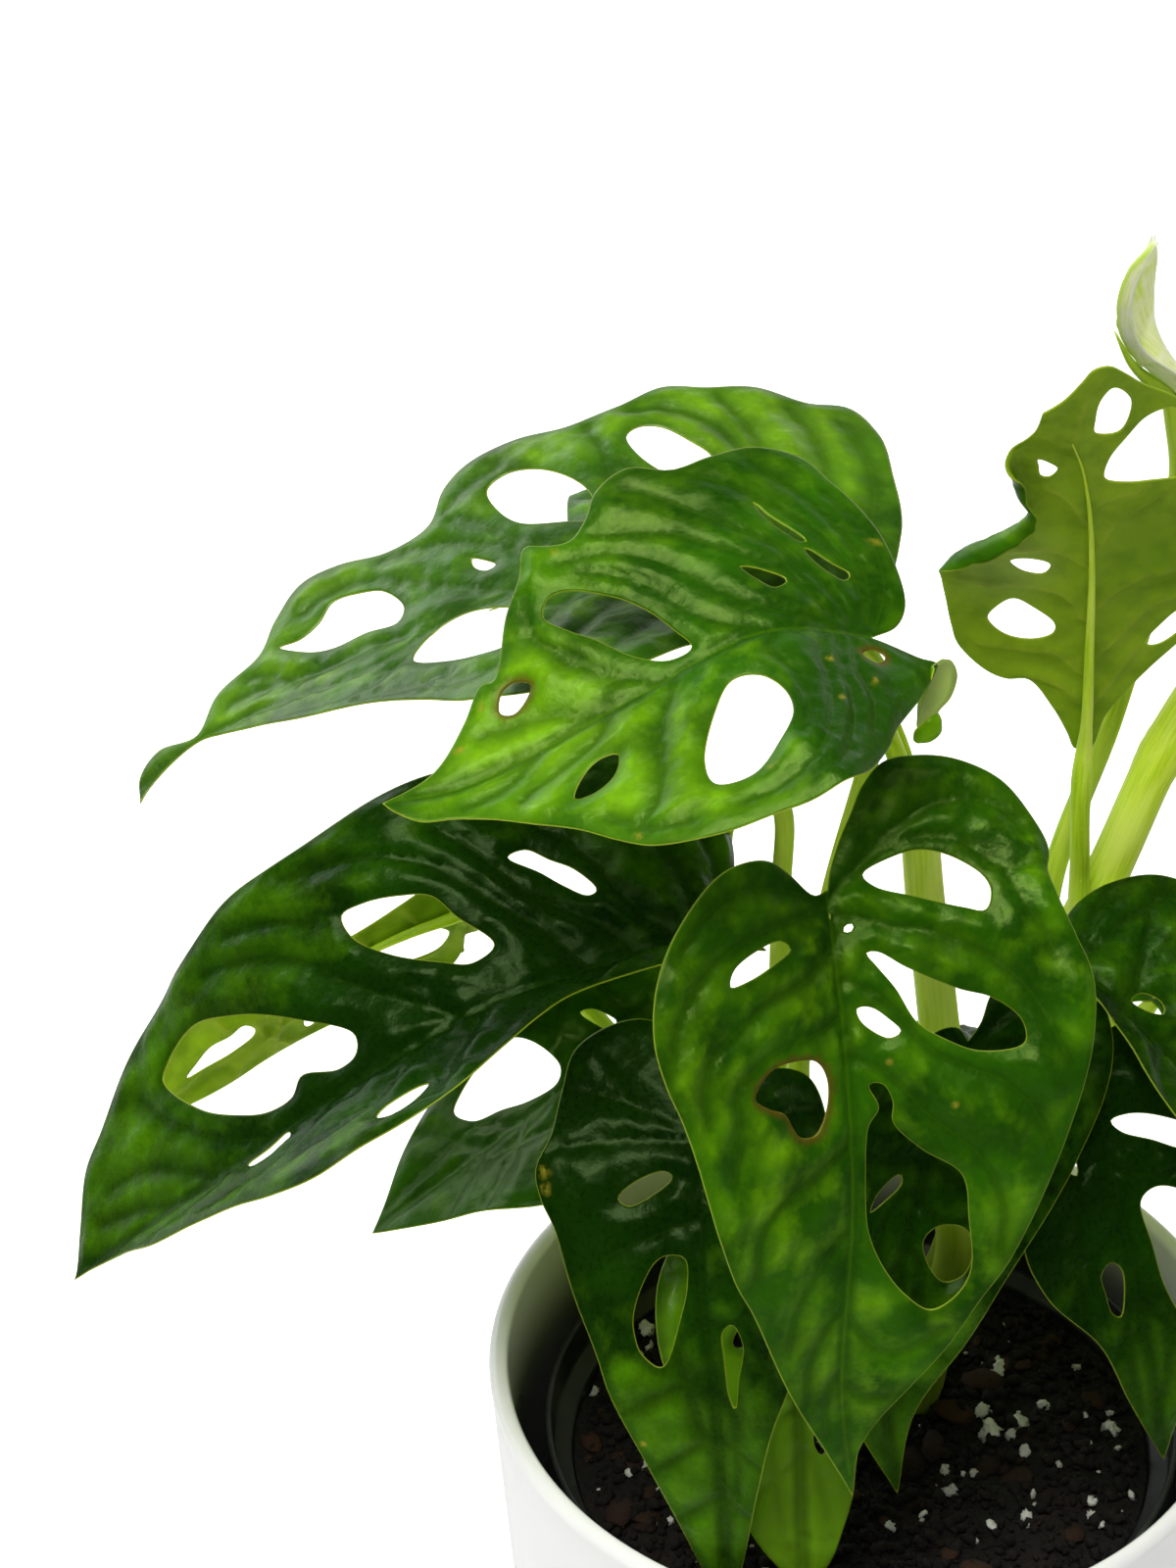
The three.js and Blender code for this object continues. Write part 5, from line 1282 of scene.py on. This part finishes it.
def leaf_material(name, deep, mid, light, under, gloss, shine, tint, midrib):
    """Satin tissue: painted shade in the vein and midrib grooves, cloudy lighter patches, painted light and
    shade, a thin pale margin.
    """
    n = Surface(name)
    place, _, _, side = n.field("place")
    _, edge, vein, rib = n.field("lines")
    _, spot, scorch, bulge = n.field("marks")
    _, glow, cloud, _ = n.field("tone")
    broad = n.noise(place, 0.045, 2.0)
    patches = n.noise(place, 0.13)
    fine = n.noise(place, 0.8, 4.0, 0.6)
    dapples = n.ramp(n.noise(place, 0.27, 3.0, 0.6), 0.4, 0.75, -0.03, 0.27)
    dapples = n.times(dapples, n.ramp(glow, -0.25, 0.1, 0.5, 1.0))
    # Lighter patches: the tissue's own cloudy tone plus the patches of painted light and shade, darkened as
    # painted shade towards the creases where the bulges fall away.
    lit = n.add(n.ramp(patches, 0.35, 0.75, 0.0, 0.35), n.times(cloud, 0.12))
    lit = n.times(n.add(n.add(lit, glow), dapples), n.ramp(bulge, 0.0, 0.9, 0.45, 1.0), clamp=True)
    # Front: painted shade where the patches are below zero, painted shade in the vein grooves that painted
    # light weakens, and painted shade in the midrib groove.
    front = n.layered(
        n.mix(n.ramp(broad, 0.35, 0.65), deep, mid),
        (n.ramp(glow, -0.5, 0.0, 0.85, 0.0), deep), (lit, light),
        (n.times(n.ramp(vein, 0.0, 1.7, 0.55, 0.0), n.ramp(glow, 0.2, 1.2, 1.0, 0.25)), deep),
        (n.ramp(rib, 0.4, 2.6, 0.5, 0.0), deep), (n.ramp(vein, 0.0, 0.4, 0.05, 0.0), light),
        (n.ramp(rib, 0.1, 0.6, midrib, 0.0), light), (n.ramp(fine, 0.35, 0.75, 0.0, 0.04), light))
    # Underside: painted shade where the patches are below zero, painted light (LIT_BACK_TONE) where they are
    # above.
    back = n.layered(
        n.mix(n.ramp(vein, 0.2, 0.9, 0.25, 0.0), under, MARGIN_TONE),
        (n.ramp(patches, 0.4, 0.7, 0.0, 0.35), mid), (n.ramp(glow, -0.4, 0.0, 0.5, 0.0), mid),
        (n.ramp(glow, 0.0, 0.5, 0.0, 0.7), LIT_BACK_TONE))
    colour = n.layered(
        front, (n.ramp(side, 0.3, 0.7), back), (n.ramp(edge, 0.05, 0.2, 0.55, 0.0), MARGIN_TONE),
        (n.times(spot, n.ramp(fine, 0.3, 0.5)), SPOT_TONE), (n.times(scorch, 0.75), SCORCH_TONE))
    roughness = n.add(n.add(gloss, n.ramp(fine, 0.3, 0.7, 0.0, 0.1)), n.ramp(side, 0.3, 0.7, 0.0, 0.22))
    n.bump(n.add(n.noise(place, 0.45, 2.0, 0.5), n.times(fine, 0.5)), 0.0003, 0.5)
    return n.finish(colour, roughness, Specular_IOR_Level=shine, Specular_Tint=tint, Subsurface_Weight=0.45,
                    Subsurface_Scale=0.001, Subsurface_Radius=(0.8, 1.0, 0.25))


def young_material():
    """The soft whitish green of a leaf that is still opening, with long streaks."""
    n = Surface("leaf_young")
    place = n.field("place")[0]
    _, edge, _, rib = n.field("lines")
    streaks = n.noise(n.stretched(place, (0.07, 1.0, 0.0)), 0.9, 4.0, 0.65)
    colour = n.layered(
        n.mix(n.ramp(streaks, 0.3, 0.62), (0.56, 0.74, 0.17), (0.82, 0.93, 0.46)),
        (n.ramp(n.noise(place, 0.16, 2.0), 0.4, 0.65, 0.0, 0.6), (0.9, 0.97, 0.66)),
        (n.ramp(rib, 0.3, 1.8, 0.75, 0.0), (0.36, 0.6, 0.04)),
        (n.ramp(edge, 0.1, 0.9, 0.5, 0.0), (0.88, 0.97, 0.7)))
    n.bump(streaks, 0.0004, 0.5)
    return n.finish(colour, n.ramp(streaks, 0.3, 0.7, 0.4, 0.55), Specular_IOR_Level=0.3,
                    Subsurface_Weight=1.0,
                    Subsurface_Scale=0.003, Subsurface_Radius=(0.9, 1.0, 0.6))


def stalk_material(name, deep, mid, pale, shaded=0.0):
    """Smooth yellow-green stalks with long streaks and small pale flecks, with painted shade below the shaded
    length.
    """
    n = Surface(name)
    place, _, _, along = n.field("place")
    streaks = n.noise(n.stretched(place, (1.0, 1.0, 0.035)), 1.6, 4.0, 0.6)
    broad = n.noise(n.stretched(place, (0.3, 0.3, 0.05)), 0.6, 2.0)
    flecks = n.noise(n.stretched(place, (1.0, 1.0, 0.3)), 2.6, 2.0)
    # The last layer is painted shade near the root of a stem, below the shaded length.
    colour = n.layered(
        n.mix(n.ramp(streaks, 0.36, 0.62), deep, mid), (n.ramp(broad, 0.4, 0.68, 0.0, 0.7), pale),
        (n.ramp(flecks, 0.66, 0.72, 0.0, 0.6), pale),
        (n.ramp(along, shaded - 40.0, shaded, 0.7, 0.0), (0.1, 0.17, 0.008)))
    n.bump(streaks, 0.0002, 0.3)
    return n.finish(colour, n.ramp(streaks, 0.3, 0.7, 0.34, 0.46), Specular_IOR_Level=0.35,
                    Specular_Tint=(0.85, 1.0, 0.5), Subsurface_Weight=0.6, Subsurface_Scale=0.002,
                    Subsurface_Radius=(0.9, 1.0, 0.2))


WALL_MIDDLE = 0.0652        # metres from the axis to the middle of the planter's wall, at its foot
# Heights over which the painted shade inside the planter fades out towards the rim.
PAINTED_SHADE_LOW, PAINTED_SHADE_HIGH = 0.112, 0.133


def glaze_material():
    """White glaze, with painted shade in grey on the inside below the rim."""
    n = Surface("glaze_white")
    place = n.object_place()
    x, y, z = n.parts(place)
    wave = n.noise(place, 22.0, 2.0)
    speck = n.noise(place, 900.0, 2.0)
    reach = n.math("POWER", n.add(n.times(x, x), n.times(y, y)), 0.5)
    reach = n.math("SUBTRACT", reach, n.times(z, PLANTER["taper"]))
    # Painted shade: the inside of the wall goes grey below the rim.
    below = n.ramp(z, PAINTED_SHADE_LOW, PAINTED_SHADE_HIGH, 1.0, 0.0)
    within = n.times(n.ramp(reach, WALL_MIDDLE, WALL_MIDDLE - 0.001), below)
    # The grey laid over the inside is painted shade.
    colour = n.layered(
        n.mix(n.ramp(wave, 0.3, 0.7), (0.9, 0.895, 0.885), (0.94, 0.935, 0.925)),
        (within, (0.18, 0.18, 0.175)), (n.ramp(speck, 0.74, 0.8, 0.0, 0.25), (0.55, 0.53, 0.5)))
    n.bump(n.add(wave, n.times(speck, 0.02)), 0.0006, 0.35)
    return n.finish(colour, n.ramp(wave, 0.3, 0.7, 0.12, 0.22), Specular_IOR_Level=0.4, Coat_Weight=0.1)


def plastic_material():
    n = Surface("pot_black")
    place = n.object_place()
    dust = n.noise(place, 60.0, 5.0, 0.7)
    colour = n.mix(n.ramp(dust, 0.45, 0.75), (0.012, 0.0125, 0.013), (0.04, 0.039, 0.037))
    n.bump(n.noise(place, 2400.0, 2.0), 0.00008, 0.5)
    return n.finish(colour, n.ramp(dust, 0.35, 0.7, 0.36, 0.6), Specular_IOR_Level=0.45)


def soil_material():
    n = Surface("soil_dark")
    place = n.object_place()
    crumb = n.noise(place, 420.0, 6.0, 0.7)
    lumps = n.node("TexVoronoi", {"Vector": place, "Scale": 520.0}, "Distance", feature="F1")
    colour = n.layered(
        n.mix(n.ramp(crumb, 0.35, 0.7), (0.0015, 0.0012, 0.001), (0.009, 0.006, 0.004)),
        (n.ramp(n.noise(place, 70.0), 0.5, 0.72, 0.0, 0.5), (0.02, 0.011, 0.006)))
    n.bump(n.math("SUBTRACT", crumb, lumps), 0.0012, 0.9)
    return n.finish(colour, n.ramp(crumb, 0.3, 0.7, 0.7, 0.95), Specular_IOR_Level=0.35)


def grain_material(name, dark, light, rough_scale):
    """Grains whose tone differs from one to the next."""
    n = Surface(name)
    tone = n.field("place")[1]
    fine = n.noise(n.object_place(), rough_scale, 4.0, 0.65)
    n.bump(fine, 0.0004, 0.8)
    colour = n.mix(n.add(n.times(tone, 0.65), n.times(fine, 0.35)), dark, light)
    return n.finish(colour, 0.9, Specular_IOR_Level=0.3)


# ---- Light, floor and camera ----
CAMERA_PLACE = (-0.057415, -0.754169, 0.828901)
CAMERA_DOWN = 36.0
LENS, SENSOR = 112.5, 36.0
PLANT_MIDDLE = (0.0, 0.0, 0.2)
ROOM_LIGHT = 0.06
BACKDROP_LIGHT = 1.25


def make_camera():
    data = bpy.data.cameras.new("view")
    data.lens, data.sensor_width = LENS, SENSOR
    camera = linked(bpy.data.objects.new("view", data))
    camera.location = CAMERA_PLACE
    camera.rotation_euler = (math.radians(90 - CAMERA_DOWN), 0, 0)
    bpy.context.scene.camera = camera


def area_light(name, place, size, power, colour):
    data = bpy.data.lights.new(name, "AREA")
    data.shape, data.size, data.size_y = "RECTANGLE", size, size
    data.energy, data.color = power, colour
    light = linked(bpy.data.objects.new(name, data))
    light.location = place
    light.rotation_euler = (Vector(PLANT_MIDDLE) - Vector(place)).to_track_quat("-Z", "Y").to_euler()


def make_sky():
    """Plain white to the camera; to the object a white wall behind it and a dim room on the other sides."""
    world = bpy.data.worlds.new("studio")
    world.use_nodes = True
    n = Nodes(world.node_tree)
    _, y, z = n.parts(n.node("TexCoord", output="Generated"))
    wall = n.times(n.ramp(y, 0.0, 0.75), n.ramp(z, 0.25, 0.62, 1.0, 0.0))
    direct = n.times(n.node("LightPath", output="Is Camera Ray"), BACKDROP_LIGHT)
    seen = n.math("MAXIMUM", direct, n.add(wall, ROOM_LIGHT))
    n.node("OutputWorld", {"Surface": n.node("Background", {"Strength": seen})})
    bpy.context.scene.world = world


def make_floor():
    bpy.ops.mesh.primitive_plane_add(size=1)
    floor = bpy.context.object
    floor.name = "floor"
    floor.scale = (3.0, 2.2, 1)
    floor.location = (0, 0.6, 0)
    n = Surface("floor_white")
    colour = n.mix(n.noise(n.object_place(), 3.0), (0.93, 0.93, 0.93), (0.95, 0.95, 0.95))
    floor.data.materials.append(n.finish(colour, 0.8, Emission_Color=(1, 1, 1), Emission_Strength=0.8))
    floor.visible_glossy = False


# ---- Assembly ----
make_camera()
make_sky()
area_light("top", (-0.25, -0.5, 1.5), 0.9, 24.0, (1.0, 1.0, 0.98))
area_light("back_left", (-0.9, 0.9, 0.75), 0.8, 3.5, (0.92, 0.98, 1.0))
make_floor()
bpy.context.scene.view_settings.view_transform = "Standard"

stalk_green = stalk_material("stalk_green", (0.34, 0.54, 0.01), (0.48, 0.67, 0.025), (0.68, 0.8, 0.13))
stem_green = stalk_material(
    "stem_green", (0.46, 0.64, 0.02), (0.6, 0.76, 0.06), (0.74, 0.84, 0.18), shaded=122.0)
leaf_green = leaf_material(
    "leaf_green", deep=(0.009, 0.056, 0.001), mid=(0.024, 0.12, 0.001), light=(0.18, 0.41, 0.003),
    under=(0.24, 0.37, 0.01), gloss=0.3, shine=0.34, tint=(0.7, 1.0, 0.25), midrib=0.12)
leaf_high = leaf_material(
    "leaf_high", deep=(0.014, 0.065, 0.001), mid=(0.036, 0.135, 0.002), light=(0.2, 0.42, 0.008),
    under=(0.22, 0.34, 0.01), gloss=0.3, shine=0.48, tint=(0.85, 1.0, 0.6), midrib=0.15)
leaf_dark = leaf_material(
    "leaf_dark", deep=(0.003, 0.019, 0.0005), mid=(0.009, 0.05, 0.0006), light=(0.07, 0.2, 0.002),
    under=(0.22, 0.34, 0.01), gloss=0.25, shine=0.14, tint=(0.65, 1.0, 0.4), midrib=0.03)
leaf_young = young_material()

OTHER_LOOKS = {"young": (leaf_young, "young_leaf"), "high_left": (leaf_high, "leaf"),
               "rim_front": (leaf_high, "leaf")}
OTHER_LOOKS.update({leaf_name: (leaf_dark, "dark_leaf") for leaf_name in (
    "dark_left", "rim_left", "behind_front", "dark_right", "rim_right", "back_low")})
FINE, COARSE = ((1.1, 1.5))
for order, (leaf_name, leaf) in enumerate(LEAVES.items()):
    material, slot = OTHER_LOOKS.get(leaf_name, (leaf_green, "leaf"))
    spacing = COARSE if leaf_name.startswith("back_") or leaf_name.startswith("right_") else FINE
    leaf_surface = LeafSurface(leaf)
    blade_piece(leaf_name, leaf, leaf_surface, material, slot, spacing, SEED + order)
    stalk_piece(leaf_name, leaf, leaf_surface, stalk_green)
for stem_name, stem in STEMS.items():
    stem_piece(stem_name, stem, stem_green)
planter_piece(glaze_material())
pot_piece(plastic_material())
soil_piece(soil_material())

PERLITE_SEEN = [        # grains that lie in front: (x, y, size)
    (30, 20, 1.5), (29, 18, 1.1), (27, 1, 1.9), (26, 0, 1.2), (34, -6, 1.4), (35, -17, 1.1),
    (17, -11, 1.3), (18, -16, 1.5), (33, -25, 1.4), (34, -27, 1.0), (26, -26, 1.3), (5, -27, 1.3),
    (48, 6, 1.2), (53, 4, 1.9), (54, -2, 1.1), (47, -19, 1.4), (48, -24, 1.2), (47, -22, 1.0),
    (-45, 36, 2.0), (-46, 29, 1.2), (-44, 31, 1.3), (-56, 19, 1.1), (7, -5, 1.1), (33, 36, 0.9),
    (21, -12, 0.9), (23, -11, 1.0), (56, -15, 1.0), (41, -8, 0.9)]
crumb = grain_material("crumb_dark", (0.001, 0.0009, 0.0008), (0.012, 0.008, 0.0055), 900.0)
white = grain_material("perlite_white", (0.4, 0.385, 0.35), (0.84, 0.83, 0.79), 1500.0)
brown = grain_material("bark_brown", (0.004, 0.0022, 0.0016), (0.045, 0.018, 0.009), 700.0)
scattered("soil_crumbs", crumb, "soil", SEED + 1, count=3200, detail=1, sizes=(0.4, 1.9),
          flatness=(0.6, 0.95), rough=0.32, sink=0.35)
scattered("perlite_grains", white, "perlite", SEED + 2, count=130, detail=3, sizes=(0.3, 1.6),
          flatness=(0.5, 0.9),
          rough=0.42, sink=0.45, places=PERLITE_SEEN)
scattered("bark_chips", brown, "bark", SEED + 3, count=70, detail=2, sizes=(1.6, 5.0), flatness=(0.18, 0.35),
          rough=0.25, sink=0.4)
fibre_piece(brown)
